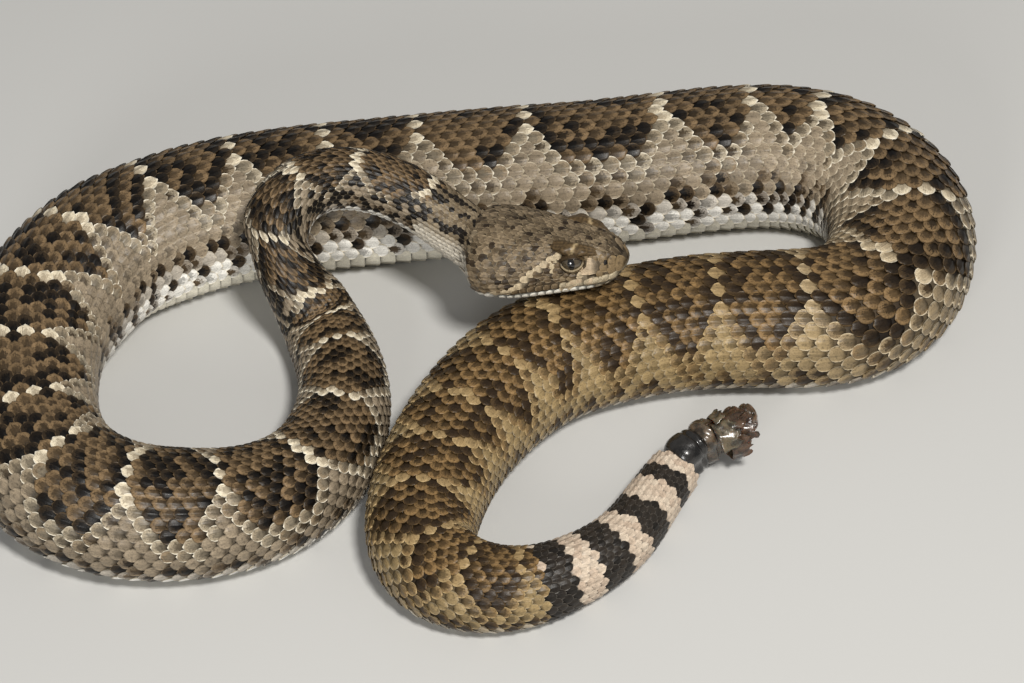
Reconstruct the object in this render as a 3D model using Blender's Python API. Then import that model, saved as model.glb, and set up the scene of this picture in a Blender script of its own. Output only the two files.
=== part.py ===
# Western diamondback rattlesnake at life size, lying still in two loops with its head on its own body.
# Lengths are in millimetres here and become metres where a mesh is made. The floor is z = 0.
import math

import bmesh
import bpy
import numpy as np

MM = 0.001
GAP = 0.3
HALF_GAP = GAP / 2

# Head: where its snout is, how it is turned, and its outline from above and from the side
SNOUT = (40.0, 9.0, 36.5)
SNOUT_ABOVE_AXIS = 6.0
HEAD_YAW = math.radians(18)
HEAD_PITCH = math.radians(12)
HEAD_ROLL = math.radians(-8)
HEAD_LENGTH = 44.0
# Rows of distance behind the snout, half width, crown height and chin height
HEAD_SHAPE = (
    (0.0, 3.9, 7.2, 2.4),
    (1.0, 5.4, 8.7, 1.0),
    (3.0, 6.8, 10.2, -0.3),
    (6.0, 7.9, 11.4, -1.5),
    (10.0, 9.1, 12.5, -2.4),
    (15.0, 10.8, 13.3, -3.0),
    (20.0, 12.4, 14.0, -3.6),
    (26.0, 14.2, 14.7, -4.1),
    (32.0, 15.2, 15.2, -4.0),
    (36.5, 15.1, 15.2, -3.2),
    (40.0, 13.1, 14.7, -2.0),
    (42.4, 10.2, 14.0, -0.8),
    (44.0, 8.4, 13.5, -0.2),
)
HEAD_WIDEST_AT = 0.42
# Squareness of the crown and how far its sides lean in, at distances behind the snout
CROWN_AT = (0, 6, 15, 26, 38, 44)
CROWN_SQUARENESS = (3.0, 3.4, 3.1, 2.6, 2.3, 2.15)
CROWN_LEAN = (0.18, 0.2, 0.2, 0.16, 0.08, 0.0)
JAW_SQUARENESS = 2.5
# Brow ridge over each eye
BROW_AT = 12.5
BROW_REACH = 5.0
BROW_SWELL = 1.1
# Mouth line from the snout to its corner: distance behind the snout and height
MOUTH_LINE = ((-4, 2.6), (0, 2.2), (3, 1.3), (8, 1.0), (15, 0.9), (22, 0.6), (28, 0.2), (34, 0.8))
JAW_CUT_DEPTH = 9.0
JAW_CUT_HALF_WIDTH = 20.0

EYE_AT = 11.6
EYE_OUT = 6.7
EYE_HEIGHT = 7.9
EYE_RADIUS = 3.2

# Route of the middle of the belly from the neck to the end of the tail: x, y and height over the floor
ROUTE = (
    (-6, 28, 23), (-11, 31, 26), (-19, 35, 28.5), (-29, 38, 30.5), (-38, 38, 31),
    (-45, 35, 31), (-50, 29, 29), (-52, 24, 23.5), (-50, 21, 16), (-47, 19, 8),
    (-43, 15, 2), (-38, 7, 0), (-34, -4, 0), (-32, -18, 0), (-34, -30, 0),
    (-38, -41, 0), (-47, -51, 0), (-58, -57, 0), (-70, -59, 0), (-83, -59, 0),
    (-96, -55, 0), (-107, -46, 0), (-114, -33, 0), (-117, -18, 0), (-116, 2, 0),
    (-109, 18, 0), (-99, 32, 0), (-86, 40, 0), (-74, 46, 0), (-61, 50, 0),
    (-47, 53, 0), (-20, 57, 0), (8, 61, 0), (35, 64, 0), (63, 69, 0),
    (86, 71, 0), (101, 67, 0), (113, 56, 0), (117, 37, 0), (111, 20, 0),
    (99, 10.5, 0), (80, 9.5, 0), (58, 8.5, 0), (36, 3.2, 0), (18, -5, 0),
    (5, -18.5, 0), (-5, -35, 0), (-10.6, -51, 0), (-12.6, -64, 0), (-9, -75, 0),
    (1, -80.5, 0), (14, -80, 0), (27, -73, 0), (38, -64.5, 0), (44.2, -54.5, 0),
    (48.4, -45.5, 0), (53.2, -38, 0),
)
HEAD_AXIS_POINTS = (20.0, 32.0, 43.0)
PATH_STEP = 2.0
PATH_PASSES = 24

# Girth: distance from the snout along the belly, full width, and height as a share of width
GIRTH = (
    (44, 15.8, 0.85),
    (88, 17.0, 0.85),
    (116, 18.8, 0.84),
    (142, 22.0, 0.82),
    (180, 26.2, 0.80),
    (204, 30.5, 0.78),
    (228, 35.0, 0.76),
    (284, 39.0, 0.76),
    (354, 42.0, 0.80),
    (560, 42.0, 0.77),
    (628, 40.5, 0.71),
    (712, 37.0, 0.69),
    (748, 32.0, 0.71),
    (777, 29.0, 0.75),
    (797, 25.0, 0.79),
    (823, 18.5, 0.83),
    (851, 15.2, 0.85),
    (871, 13.5, 0.86),
)
GIRTH_PASSES = 20
BODY_WIDEST_AT = 0.44
BACK_SQUARENESS = 2.15
BELLY_SQUARENESS = 2.9
BELLY_FLAT = 0.06
INNER_BEND_SHARE = 0.9

# Lengths that the body is divided into
NECK_LENGTH = 60.0
TAIL_LENGTH = 60.0
TRUNK_LENGTHS = 11
RING_POINTS = 24
RING_SPACING = 8.0
HEAD_RINGS = (0, 0.5, 1.5, 3, 5, 7.5, 10, 12.5, 15, 18, 22, 26, 30, 33.5, 36.5, 39, 40.5, 41.6, 42.6)
HEAD_BLENDS_FROM = 38.5

# Rattle: segments of horn stacked from the tail's end, with the last ones smaller and worn
RATTLE_SEGMENTS = (
    # name, length, width, height, turn to the right of the one before
    ("rattle_base", 7.0, 10.4, 12.6, math.radians(15)),
    ("rattle_2", 4.6, 9.8, 12.0, math.radians(8)),
    ("rattle_3", 3.9, 8.8, 10.8, math.radians(4)),
    ("rattle_4", 3.5, 7.8, 9.6, math.radians(3)),
    ("rattle_5", 2.9, 6.2, 7.6, math.radians(2)),
)
RATTLE_PITCH = math.radians(6)
RATTLE_TURN_ROOM = 0.35
RATTLE_BASE_ROOM = 1.2
RATTLE_POINTS = 16
RATTLE_CLEAR_OF_FLOOR = 0.6
# Outline of a segment along its length: share of the length, share of the width
LOBE = ((0.0, 0.74), (0.18, 0.96), (0.45, 1.0), (0.62, 0.9), (0.8, 0.93), (1.0, 0.7))
LOBE_SQUARENESS = 2.4

COLOURS = {
    "head": (0.30, 0.23, 0.16),
    "lower_jaw": (0.62, 0.57, 0.48),
    "eye": (0.05, 0.045, 0.035),
    "neck": (0.32, 0.25, 0.18),
    "trunk": (0.30, 0.235, 0.16),
    "tail": (0.42, 0.37, 0.31),
    "rattle": (0.12, 0.085, 0.06),
}
ROUGHNESS = {"eye": 0.08, "rattle": 0.25}
SKIN_ROUGHNESS = 0.6


def clear_scene():
    """Removes whatever the scene holds."""
    for thing in list(bpy.data.objects):
        bpy.data.objects.remove(thing, do_unlink=True)


def material(name):
    """A plain finish in the colour of this kind of piece."""
    finish = bpy.data.materials.new(name)
    finish.use_nodes = True
    shader = finish.node_tree.nodes["Principled BSDF"]
    shader.inputs["Base Color"].default_value = (*COLOURS[name], 1.0)
    shader.inputs["Roughness"].default_value = ROUGHNESS.get(name, SKIN_ROUGHNESS)
    shader.inputs["Metallic"].default_value = 0.0
    return finish


def head_frame():
    """The axis point at the snout, and the head's forward, left and up directions."""
    forward = np.array(
        (
            math.cos(HEAD_YAW) * math.cos(HEAD_PITCH),
            -math.sin(HEAD_YAW) * math.cos(HEAD_PITCH),
            math.sin(HEAD_PITCH),
        )
    )
    level = np.array((math.sin(HEAD_YAW), math.cos(HEAD_YAW), 0.0))
    upright = np.cross(forward, level)
    left = level * math.cos(HEAD_ROLL) + upright * math.sin(HEAD_ROLL)
    up = upright * math.cos(HEAD_ROLL) - level * math.sin(HEAD_ROLL)
    return np.array(SNOUT) - up * SNOUT_ABOVE_AXIS, forward, left, up


def in_head(back, out, height):
    """Points given by distance behind the snout, distance to the left and height."""
    origin, forward, left, up = head_frame()
    back, out, height = np.broadcast_arrays(*map(np.atleast_1d, (back, out, height)))
    return origin - np.outer(back, forward) + np.outer(out, left) + np.outer(height, up)


def smooth_through(knots, values, where):
    """Smooth curve through values at rising knots, read where asked."""
    knots, values = np.asarray(knots, float), np.asarray(values, float)
    spans = np.diff(knots)
    slopes = np.diff(values, axis=0) / spans.reshape(-1, *[1] * (values.ndim - 1))
    before = np.concatenate([slopes[:1], slopes])
    after = np.concatenate([slopes, slopes[-1:]])
    span_before = np.concatenate([spans[:1], spans])
    span_after = np.concatenate([spans, spans[-1:]])
    shape = (-1, *[1] * (values.ndim - 1))
    lean = (span_before / (span_before + span_after)).reshape(shape)
    tangents = before * (1 - lean) + after * lean
    index = np.clip(np.searchsorted(knots, where, side="right") - 1, 0, len(spans) - 1)
    part = ((where - knots[index]) / spans[index]).reshape(shape)
    span = spans[index].reshape(shape)
    return (
        values[index] * (1 + 2 * part) * (1 - part) ** 2
        + tangents[index] * span * part * (1 - part) ** 2
        + values[index + 1] * part**2 * (3 - 2 * part)
        - tangents[index + 1] * span * part**2 * (1 - part)
    )


def evened(values, passes):
    """Rows with small unevenness taken out, their ends kept."""
    values = values.copy()
    for _ in range(passes):
        values[1:-1] = (values[:-2] + 2 * values[1:-1] + values[2:]) / 4
    return values


def spread_evenly(points, step):
    """The same path with points at even steps, and the distance of each."""
    along = np.concatenate([[0], np.cumsum(np.linalg.norm(np.diff(points, axis=0), axis=1))])
    even = np.linspace(0, along[-1], int(round(along[-1] / step)) + 1)
    return even, np.stack([np.interp(even, along, points[:, k]) for k in range(3)], axis=1)


class Body:
    """The snake's belly line with the width, height and bend at each distance from the snout."""

    def __init__(self):
        head_axis = in_head(np.array(HEAD_AXIS_POINTS), 0.0, 0.0)
        knots = np.vstack([head_axis, np.array(ROUTE, float)])
        chord = np.concatenate([[0], np.cumsum(np.linalg.norm(np.diff(knots, axis=0), axis=1))])
        fine = smooth_through(chord, knots, np.arange(0, chord[-1], PATH_STEP / 4))
        fine[:, 2] = np.maximum(fine[:, 2], 0)
        _, path = spread_evenly(fine, PATH_STEP)
        along, self.path = spread_evenly(evened(path, PATH_PASSES), PATH_STEP)
        self.along = along + HEAD_AXIS_POINTS[0]
        self.length = self.along[-1]
        girth = np.array(GIRTH)
        sizes = np.stack([np.interp(self.along, girth[:, 0], girth[:, k]) for k in (1, 2)], axis=1)
        self.sizes = evened(sizes, GIRTH_PASSES)
        tangents = evened(np.gradient(self.path, axis=0), 2)
        self.tangents = tangents / np.linalg.norm(tangents, axis=1)[:, None]
        self.turning = evened(np.gradient(self.tangents, self.along, axis=0), 6)

    def read(self, rows, where):
        return np.array([np.interp(where, self.along, rows[:, k]) for k in range(rows.shape[1])])

    def frame(self, where):
        """Belly point, direction towards the tail, the snake's left, and up, at this distance."""
        centre = self.read(self.path, where)
        tailward = self.read(self.tangents, where)
        tailward /= np.linalg.norm(tailward)
        left = np.cross(tailward, (0, 0, 1))
        left /= np.linalg.norm(left)
        up = np.cross(left, tailward)
        roll = HEAD_ROLL * np.clip(1 - (where - HEAD_LENGTH) / NECK_LENGTH, 0, 1)
        return (
            centre,
            tailward,
            left * math.cos(roll) + up * math.sin(roll),
            up * math.cos(roll) - left * math.sin(roll),
        )

    def ring(self, where, shift=0.0):
        """Outline of the body at this distance, moved tailward by shift."""
        centre, tailward, left, up = self.frame(where)
        width, share = self.read(self.sizes, where)
        out, height = body_outline(width, width * share)
        bend = self.read(self.turning, where) @ left
        inner = np.maximum(out * np.sign(bend), 0) * abs(bend) / INNER_BEND_SHARE
        out = out / (1 + inner**4) ** 0.25
        return centre + shift * tailward + np.outer(out, left) + np.outer(height, up)


def round_turn(points):
    """Cosines and sines once round, starting at the snake's left."""
    turn = np.arange(points) * 2 * math.pi / points
    return np.cos(turn), np.sin(turn)


def powered(values, squareness):
    return np.sign(values) * np.abs(values) ** (2 / squareness)


def body_outline(width, height):
    """Round back over a flattened belly, as distances to the left and up."""
    cosine, sine = round_turn(RING_POINTS)
    back = sine >= 0
    widest = BODY_WIDEST_AT * height
    out = np.where(back, powered(cosine, BACK_SQUARENESS), powered(cosine, BELLY_SQUARENESS))
    upper = widest + (height - widest) * powered(sine, BACK_SQUARENESS)
    lower = widest + widest * powered(sine, BELLY_SQUARENESS)
    tall = np.where(back, upper, lower)
    return out * width / 2, np.where(tall < BELLY_FLAT * height, 0.0, tall)


def head_ring(back):
    """Outline of the head at this distance behind the snout."""
    rows = np.array(HEAD_SHAPE)
    half, crown, chin = smooth_through(rows[:, 0], rows[:, 1:], np.array([back]))[0]
    cosine, sine = round_turn(RING_POINTS)
    squareness = np.interp(back, CROWN_AT, CROWN_SQUARENESS)
    lean = np.interp(back, CROWN_AT, CROWN_LEAN)
    widest = chin + HEAD_WIDEST_AT * (crown - chin)
    above = sine >= 0
    out = np.where(above, powered(cosine, squareness), powered(cosine, JAW_SQUARENESS)) * half
    lift = np.where(above, powered(sine, squareness), 0.0)
    height = np.where(
        above,
        widest + (crown - widest) * lift,
        widest + (widest - chin) * powered(sine, JAW_SQUARENESS),
    )
    brow = math.exp(-(((back - BROW_AT) / BROW_REACH) ** 2)) * np.exp(-(((lift - 0.9) / 0.25) ** 2))
    out = out * (1 - lean * lift) + np.sign(out) * BROW_SWELL * brow * (np.abs(cosine) > 0.3)
    return in_head(back, out, height)


def head_to_neck(body, back):
    """Outline at this distance, passing from the head's own shape into the neck's."""
    part = np.clip((back - HEAD_BLENDS_FROM) / (HEAD_LENGTH - HEAD_BLENDS_FROM), 0, 1)
    part = part * part * (3 - 2 * part)
    if part == 0:
        return head_ring(back)
    return head_ring(back) * (1 - part) + body.ring(back) * part


def joined_rings(name, rings):
    """One closed mesh through rings of equal size, its ends filled."""
    mesh = bpy.data.meshes.new(name)
    made = bmesh.new()
    loops = [[made.verts.new(point * MM) for point in ring] for ring in rings]
    for one, other in zip(loops, loops[1:]):
        for k, vertex in enumerate(one):
            made.faces.new((one[k - 1], vertex, other[k], other[k - 1]))
    made.faces.new(loops[0])
    made.faces.new(reversed(loops[-1]))
    bmesh.ops.recalc_face_normals(made, faces=made.faces)
    made.to_mesh(mesh)
    made.free()
    return mesh


def placed(name, mesh, finish):
    """The mesh as a smooth-shaded piece of the snake."""
    piece = bpy.data.objects.new(name, mesh)
    bpy.context.scene.collection.objects.link(piece)
    mesh.shade_smooth()
    mesh.set_sharp_from_angle(angle=math.radians(50))
    mesh.materials.append(finish)
    return piece


def cutter(name, mesh):
    """A helper that only cuts others."""
    helper = bpy.data.objects.new(name, mesh)
    bpy.context.scene.collection.objects.link(helper)
    helper.hide_render = True
    helper.display_type = "WIRE"
    return helper


def cut(piece, helper, operation):
    step = piece.modifiers.new(f"{operation.lower()}_{helper.name}", "BOOLEAN")
    step.operation = operation
    step.object = helper


def jaw_block(name, raise_by):
    """Block below the mouth line and in front of the mouth's corner."""
    line = [(back, height + raise_by) for back, height in MOUTH_LINE]
    corner = MOUTH_LINE[-1][0] + 1.5 + raise_by
    line.append((corner, -JAW_CUT_DEPTH))
    line.append((MOUTH_LINE[0][0], -JAW_CUT_DEPTH))
    backs, heights = np.array(line).T
    sides = [in_head(backs, side, heights) for side in (-JAW_CUT_HALF_WIDTH, JAW_CUT_HALF_WIDTH)]
    return cutter(name, joined_rings(name, sides))


def ball(name, centre, radius):
    """A round mesh about a point."""
    mesh = bpy.data.meshes.new(name)
    made = bmesh.new()
    bmesh.ops.create_icosphere(made, subdivisions=2, radius=radius * MM)
    bmesh.ops.translate(made, vec=centre * MM, verts=made.verts)
    made.to_mesh(mesh)
    made.free()
    return mesh


def make_head(body):
    """Head, lower jaw parted from it by the mouth's thin cut, and two eyes in their sockets."""
    rings = [head_to_neck(body, back) for back in HEAD_RINGS]
    rings.append(body.ring(HEAD_LENGTH, -HALF_GAP))
    head = placed("head", joined_rings("head", rings), material("head"))
    jaw = placed("lower_jaw", joined_rings("lower_jaw", rings), material("lower_jaw"))
    cut(head, jaw_block("mouth_cut", GAP), "DIFFERENCE")
    cut(jaw, jaw_block("jaw_space", 0.0), "INTERSECT")
    finish = material("eye")
    for side, out in (("left", EYE_OUT), ("right", -EYE_OUT)):
        centre = in_head(EYE_AT, out, EYE_HEIGHT)[0]
        placed(f"eye_{side}", ball(f"eye_{side}", centre, EYE_RADIUS), finish)
        cut(head, cutter(f"socket_{side}", ball(f"socket_{side}", centre, EYE_RADIUS + GAP)), "DIFFERENCE")


def make_length(body, name, start, end, finish):
    """One length of the body between two thin cuts."""
    steps = max(2, round((end - start) / RING_SPACING))
    rings = [body.ring(where) for where in np.linspace(start, end, steps + 1)]
    rings[0] = body.ring(start, HALF_GAP)
    rings[-1] = body.ring(end, -HALF_GAP)
    placed(name, joined_rings(name, rings), finish)


def make_body(body):
    """Neck, the trunk's lengths and the tail."""
    neck_end = HEAD_LENGTH + NECK_LENGTH
    trunk_end = body.length - TAIL_LENGTH
    make_length(body, "neck", HEAD_LENGTH, neck_end, material("neck"))
    finish = material("trunk")
    cuts = np.linspace(neck_end, trunk_end, TRUNK_LENGTHS + 1)
    for number, (start, end) in enumerate(zip(cuts, cuts[1:]), 1):
        make_length(body, f"trunk_{number:02d}", start, end, finish)
    make_length(body, "tail", trunk_end, body.length, material("tail"))


def rattle_rings(base, tailward, left, up, length, width, height):
    """Rings of one lobed horn segment, with a shallow groove along each side."""
    cosine, sine = round_turn(RATTLE_POINTS)
    out = powered(cosine, LOBE_SQUARENESS) * width / 2
    tall = powered(sine, LOBE_SQUARENESS) * height / 2
    out = out * (1 - 0.12 * np.exp(-((sine / 0.3) ** 2)))
    rings = []
    for share, wide in LOBE:
        centre = base + tailward * length * share
        rings.append(centre + np.outer(out * wide, left) + np.outer(tall * wide, up))
    return rings


def make_rattle(body):
    """The rattle's horn segments, one behind the other from the end of the tail."""
    finish = material("rattle")
    belly, tailward, _, _ = body.frame(body.length)
    yaw = math.atan2(tailward[1], tailward[0])
    first_height = RATTLE_SEGMENTS[0][3]
    base = belly + np.array((0, 0, first_height / 2 + RATTLE_CLEAR_OF_FLOOR))
    base = base + tailward * (GAP + RATTLE_BASE_ROOM)
    for name, length, width, height, turn in RATTLE_SEGMENTS:
        yaw -= turn
        flat = np.array((math.cos(yaw), math.sin(yaw), 0.0))
        aim = flat * math.cos(RATTLE_PITCH) + np.array((0, 0, math.sin(RATTLE_PITCH)))
        left = np.cross(flat, (0, 0, 1))
        up = np.cross(left, aim)
        rings = rattle_rings(base, aim, left, up, length, width, height)
        placed(name, joined_rings(name, rings), finish)
        base = base + aim * (length + GAP + RATTLE_TURN_ROOM)


def main():
    clear_scene()
    body = Body()
    make_head(body)
    make_body(body)
    make_rattle(body)


main()
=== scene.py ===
import math

import bmesh
import bpy
import numpy as np
from bpy.props import FloatProperty, FloatVectorProperty, PointerProperty
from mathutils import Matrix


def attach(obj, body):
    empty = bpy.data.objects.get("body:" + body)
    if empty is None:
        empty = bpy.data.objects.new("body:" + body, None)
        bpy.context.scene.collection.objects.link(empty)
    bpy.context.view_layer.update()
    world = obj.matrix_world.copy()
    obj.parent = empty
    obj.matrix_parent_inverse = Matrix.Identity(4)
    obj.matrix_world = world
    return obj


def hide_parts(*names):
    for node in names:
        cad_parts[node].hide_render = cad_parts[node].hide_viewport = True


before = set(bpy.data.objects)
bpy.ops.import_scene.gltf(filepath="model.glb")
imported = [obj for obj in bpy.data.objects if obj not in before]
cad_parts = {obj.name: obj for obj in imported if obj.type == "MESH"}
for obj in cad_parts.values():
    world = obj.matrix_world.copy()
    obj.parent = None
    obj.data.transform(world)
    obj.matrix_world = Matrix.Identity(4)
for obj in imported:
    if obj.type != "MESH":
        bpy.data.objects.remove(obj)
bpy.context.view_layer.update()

bl_info = {
    "name": "Diamondback rattlesnake",
    "version": (1, 0, 0),
    "blender": (4, 5, 0),
    "location": "View3D > Sidebar > Rattlesnake",
    "description": "Skin, scales, eyes and rattle of a life-size western diamondback",
    "category": "Add Mesh",
}

MM = 0.001
BODY_NAME = "root"

# Head: place of the snout, turn of the head, and outline from above and from the side, in millimetres
SNOUT = (40.0, 9.0, 36.5)
SNOUT_ABOVE_AXIS = 6.0
HEAD_YAW = math.radians(18)
HEAD_PITCH = math.radians(12)
HEAD_ROLL = math.radians(-8)
HEAD_LENGTH = 44.0
# Rows of distance behind the snout, half width, crown height and chin height
HEAD_SHAPE = (
    (0.0, 3.9, 7.2, 2.4),
    (1.0, 5.4, 8.7, 1.0),
    (3.0, 6.8, 10.2, -0.3),
    (6.0, 7.9, 11.4, -1.5),
    (10.0, 9.1, 12.5, -2.4),
    (15.0, 10.8, 13.3, -3.0),
    (20.0, 12.4, 14.0, -3.6),
    (26.0, 14.2, 14.7, -4.1),
    (32.0, 15.2, 15.2, -4.0),
    (36.5, 15.1, 15.2, -3.2),
    (40.0, 13.1, 14.7, -2.0),
    (42.4, 10.2, 14.0, -0.8),
    (44.0, 8.4, 13.5, -0.2),
)
HEAD_WIDEST_AT = 0.42
CROWN_AT = (0, 6, 15, 26, 38, 44)
CROWN_SQUARENESS = (3.0, 3.4, 3.1, 2.6, 2.3, 2.15)
CROWN_LEAN = (0.18, 0.2, 0.2, 0.16, 0.08, 0.0)
JAW_SQUARENESS = 2.5
BROW_AT = 12.5
BROW_REACH = 5.0
BROW_SWELL = 1.1
MOUTH_BACK = (-4, 0, 3, 8, 15, 22, 28, 34)
MOUTH_HEIGHT = (2.6, 2.2, 1.3, 1.0, 0.9, 0.6, 0.2, 0.8)
SNOUT_BULGE = 1.2
SNOUT_MIDDLE = 4.8
HEAD_BLENDS_FROM = 38.5
HEAD_AXIS_POINTS = (20.0, 32.0, 43.0)

EYE_AT = 11.6
EYE_OUT = 6.7
EYE_HEIGHT = 7.9
EYE_RADIUS = 3.2

# Route of the middle of the belly from the neck to the end of the tail: x, y and height over the floor,
# worked out by a scratch program from positions picked by eye on the photo, and rounded
ROUTE = (
    (-6, 28, 23), (-11, 31, 26), (-19, 35, 28.5), (-29, 38, 30.5), (-38, 38, 31),
    (-45, 35, 31), (-50, 29, 29), (-52, 24, 23.5), (-50, 21, 16), (-47, 19, 8),
    (-43, 15, 2), (-38, 7, 0), (-34, -4, 0), (-32, -18, 0), (-34, -30, 0),
    (-38, -41, 0), (-47, -51, 0), (-58, -57, 0), (-70, -59, 0), (-83, -59, 0),
    (-96, -55, 0), (-107, -46, 0), (-114, -33, 0), (-117, -18, 0), (-116, 2, 0),
    (-109, 18, 0), (-99, 32, 0), (-86, 40, 0), (-74, 46, 0), (-61, 50, 0),
    (-47, 53, 0), (-20, 57, 0), (8, 61, 0), (35, 64, 0), (63, 69, 0),
    (86, 71, 0), (101, 67, 0), (113, 56, 0), (117, 37, 0), (111, 20, 0),
    (99, 10.5, 0), (80, 9.5, 0), (58, 8.5, 0), (36, 3.2, 0), (18, -5, 0),
    (5, -18.5, 0), (-5, -35, 0), (-10.6, -51, 0), (-12.6, -64, 0), (-9, -75, 0),
    (1, -80.5, 0), (14, -80, 0), (27, -73, 0), (38, -64.5, 0), (44.2, -54.5, 0),
    (48.4, -45.5, 0), (53.2, -38, 0),
)
PATH_STEP = 2.0
PATH_PASSES = 24
# Girth: distance from the snout, full width, and height as a share of width
GIRTH = (
    (44, 15.8, 0.85), (88, 17.0, 0.85), (116, 18.8, 0.84), (142, 22.0, 0.82),
    (180, 26.2, 0.80), (204, 30.5, 0.78), (228, 35.0, 0.76), (284, 39.0, 0.76),
    (354, 42.0, 0.80), (560, 42.0, 0.77), (628, 40.5, 0.71), (712, 37.0, 0.69),
    (748, 32.0, 0.71), (777, 29.0, 0.75), (797, 25.0, 0.79), (823, 18.5, 0.83),
    (851, 15.2, 0.85), (871, 13.5, 0.86),
)
GIRTH_PASSES = 20
BODY_WIDEST_AT = 0.44
BACK_SQUARENESS = 2.15
BELLY_SQUARENESS = 2.9
BELLY_FLAT = 0.06
INNER_BEND_SHARE = 0.9
NECK_LENGTH = 60.0

# Lay of the scales. Across, 0 is the middle of the back and 1 or -1 the middle of the belly.
RING_POINTS = 720
ACROSS = 181
BACK_SHARE = 0.73
ROWS_AT = (-1, 3, 10, 20, 30, 38, 46, 60, 130, 440, 580, 660, 790, 871)
ROWS = (21, 25, 31, 36, 36, 34, 31, 28, 27, 27, 26, 26, 23, 17)
PITCH_AT = (-1, 8, 20, 36, 50, 80, 130, 180, 240, 320, 420, 560, 660, 740, 790, 830, 871)
PITCH = (1.3, 1.5, 1.8, 2.0, 2.2, 2.5, 2.75, 3.0, 3.3, 3.7, 4.2, 4.4, 3.8, 3.2, 2.7, 2.4, 2.0)
# Turn of the back away from the viewer's side along the body, in degrees
ROLL_AT = (0, 300, 370, 560, 640, 900)
ROLL = (0, 0, -30, -30, 0, 0)
BELLY_PLATES_FROM = 50.0
BACK_REACH = BACK_SHARE + 0.012
# Steps in which scale columns are counted off, and where the count stops
COUNT_STEP = 0.25
COUNT_TO = 872
TAIL_END = 871.5
# Distances at which the colours of the nape and of the body begin
NAPE_FROM = 39
BODY_FROM = 60
# Parts of the neck that are evened out: from, to and how much
EVENED = ((38.5, 62.0, 40), (104.0, 186.0, 60))
# Distance across at which the scales of the flank begin
FLANK_FROM = 0.42
# How far the skin lies under the outside of the scales
SKIN_DEPTH_AT = (0, 30, 60, 200, 400, 700, 871)
SKIN_DEPTH = (0.22, 0.28, 0.35, 0.6, 0.75, 0.65, 0.4)

# Distances from the snout of the pale gaps between the blotches of the back, most of them worked out in that
# way too
GAPS = np.array(
    (62, 80, 94, 105, 118, 134, 151, 173, 197, 220, 242, 263, 282,
     303, 324, 345, 367, 391, 416, 441, 471, 509, 534, 552, 570, 591,
     614, 637, 660, 683, 705, 723, 740, 754, 770, 786, 798, 812),
    float,
)
# Black bands of the tail: middle and half length
TAIL_BANDS = ((820, 3.6), (834.5, 4.0), (849, 3.8), (863.5, 2.7))
TAIL_FROM = 816.0

FLESH = ["head", "lower_jaw", "neck", "tail"] + [f"trunk_{k:02d}" for k in range(1, 12)]


def linear(*colour):
    """A colour given as 0 to 255 as people see it, for the shader."""
    share = np.array(colour, float) / 255
    return np.where(share <= 0.04045, share / 12.92, ((share + 0.055) / 1.055) ** 2.4)


CREAM = linear(226, 214, 188)
WHITE = linear(232, 228, 216)
JET = linear(20, 17, 14)
STRIPE = linear(186, 169, 140)
# Middle lines of the pale stripes behind and in front of the eye: distances behind the snout, and angles
# from the top
REAR_STRIPE = ((13.6, 15, 18.3, 21.8, 26.8, 31), (52, 57, 72, 82.5, 97.5, 106))
FRONT_STRIPE = ((8.0, 10.5, 14.5, 16.5), (91, 99, 113.5, 119))


def step_up(low, high, value):
    """Smooth rise from 0 to 1 between two values."""
    part = np.clip((value - low) / (high - low), 0, 1)
    return part * part * (3 - 2 * part)


def mix(one, other, share):
    share = np.asarray(share, float)[..., None]
    return one * (1 - share) + other * share


def head_frame():
    """The axis point at the snout, and the head's forward, left and up directions."""
    forward = np.array(
        (
            math.cos(HEAD_YAW) * math.cos(HEAD_PITCH),
            -math.sin(HEAD_YAW) * math.cos(HEAD_PITCH),
            math.sin(HEAD_PITCH),
        )
    )
    level = np.array((math.sin(HEAD_YAW), math.cos(HEAD_YAW), 0.0))
    upright = np.cross(forward, level)
    left = level * math.cos(HEAD_ROLL) + upright * math.sin(HEAD_ROLL)
    up = upright * math.cos(HEAD_ROLL) - level * math.sin(HEAD_ROLL)
    return np.array(SNOUT) - up * SNOUT_ABOVE_AXIS, forward, left, up


def in_head(back, out, height):
    """Points given by distance behind the snout, distance to the left and height."""
    origin, forward, left, up = head_frame()
    back, out, height = np.broadcast_arrays(*map(np.atleast_1d, (back, out, height)))
    return origin - np.outer(back, forward) + np.outer(out, left) + np.outer(height, up)


def smooth_through(knots, values, where):
    """Smooth curve through values at rising knots, read where asked."""
    knots, values = np.asarray(knots, float), np.asarray(values, float)
    spans = np.diff(knots)
    slopes = np.diff(values, axis=0) / spans.reshape(-1, *[1] * (values.ndim - 1))
    before = np.concatenate([slopes[:1], slopes])
    after = np.concatenate([slopes, slopes[-1:]])
    span_before = np.concatenate([spans[:1], spans])
    span_after = np.concatenate([spans, spans[-1:]])
    shape = (-1, *[1] * (values.ndim - 1))
    lean = (span_before / (span_before + span_after)).reshape(shape)
    tangents = before * (1 - lean) + after * lean
    index = np.clip(np.searchsorted(knots, where, side="right") - 1, 0, len(spans) - 1)
    part = ((where - knots[index]) / spans[index]).reshape(shape)
    span = spans[index].reshape(shape)
    return (
        values[index] * (1 + 2 * part) * (1 - part) ** 2
        + tangents[index] * span * part * (1 - part) ** 2
        + values[index + 1] * part**2 * (3 - 2 * part)
        - tangents[index + 1] * span * part**2 * (1 - part)
    )


def evened(values, passes):
    """Rows with small unevenness taken out, their ends kept."""
    values = values.copy()
    for _ in range(passes):
        values[1:-1] = (values[:-2] + 2 * values[1:-1] + values[2:]) / 4
    return values


def spread_evenly(points, step):
    """The same path with points at even steps, and the distance of each."""
    along = np.concatenate([[0], np.cumsum(np.linalg.norm(np.diff(points, axis=0), axis=1))])
    even = np.linspace(0, along[-1], int(round(along[-1] / step)) + 1)
    return even, np.stack([np.interp(even, along, points[:, k]) for k in range(3)], axis=1)


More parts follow.
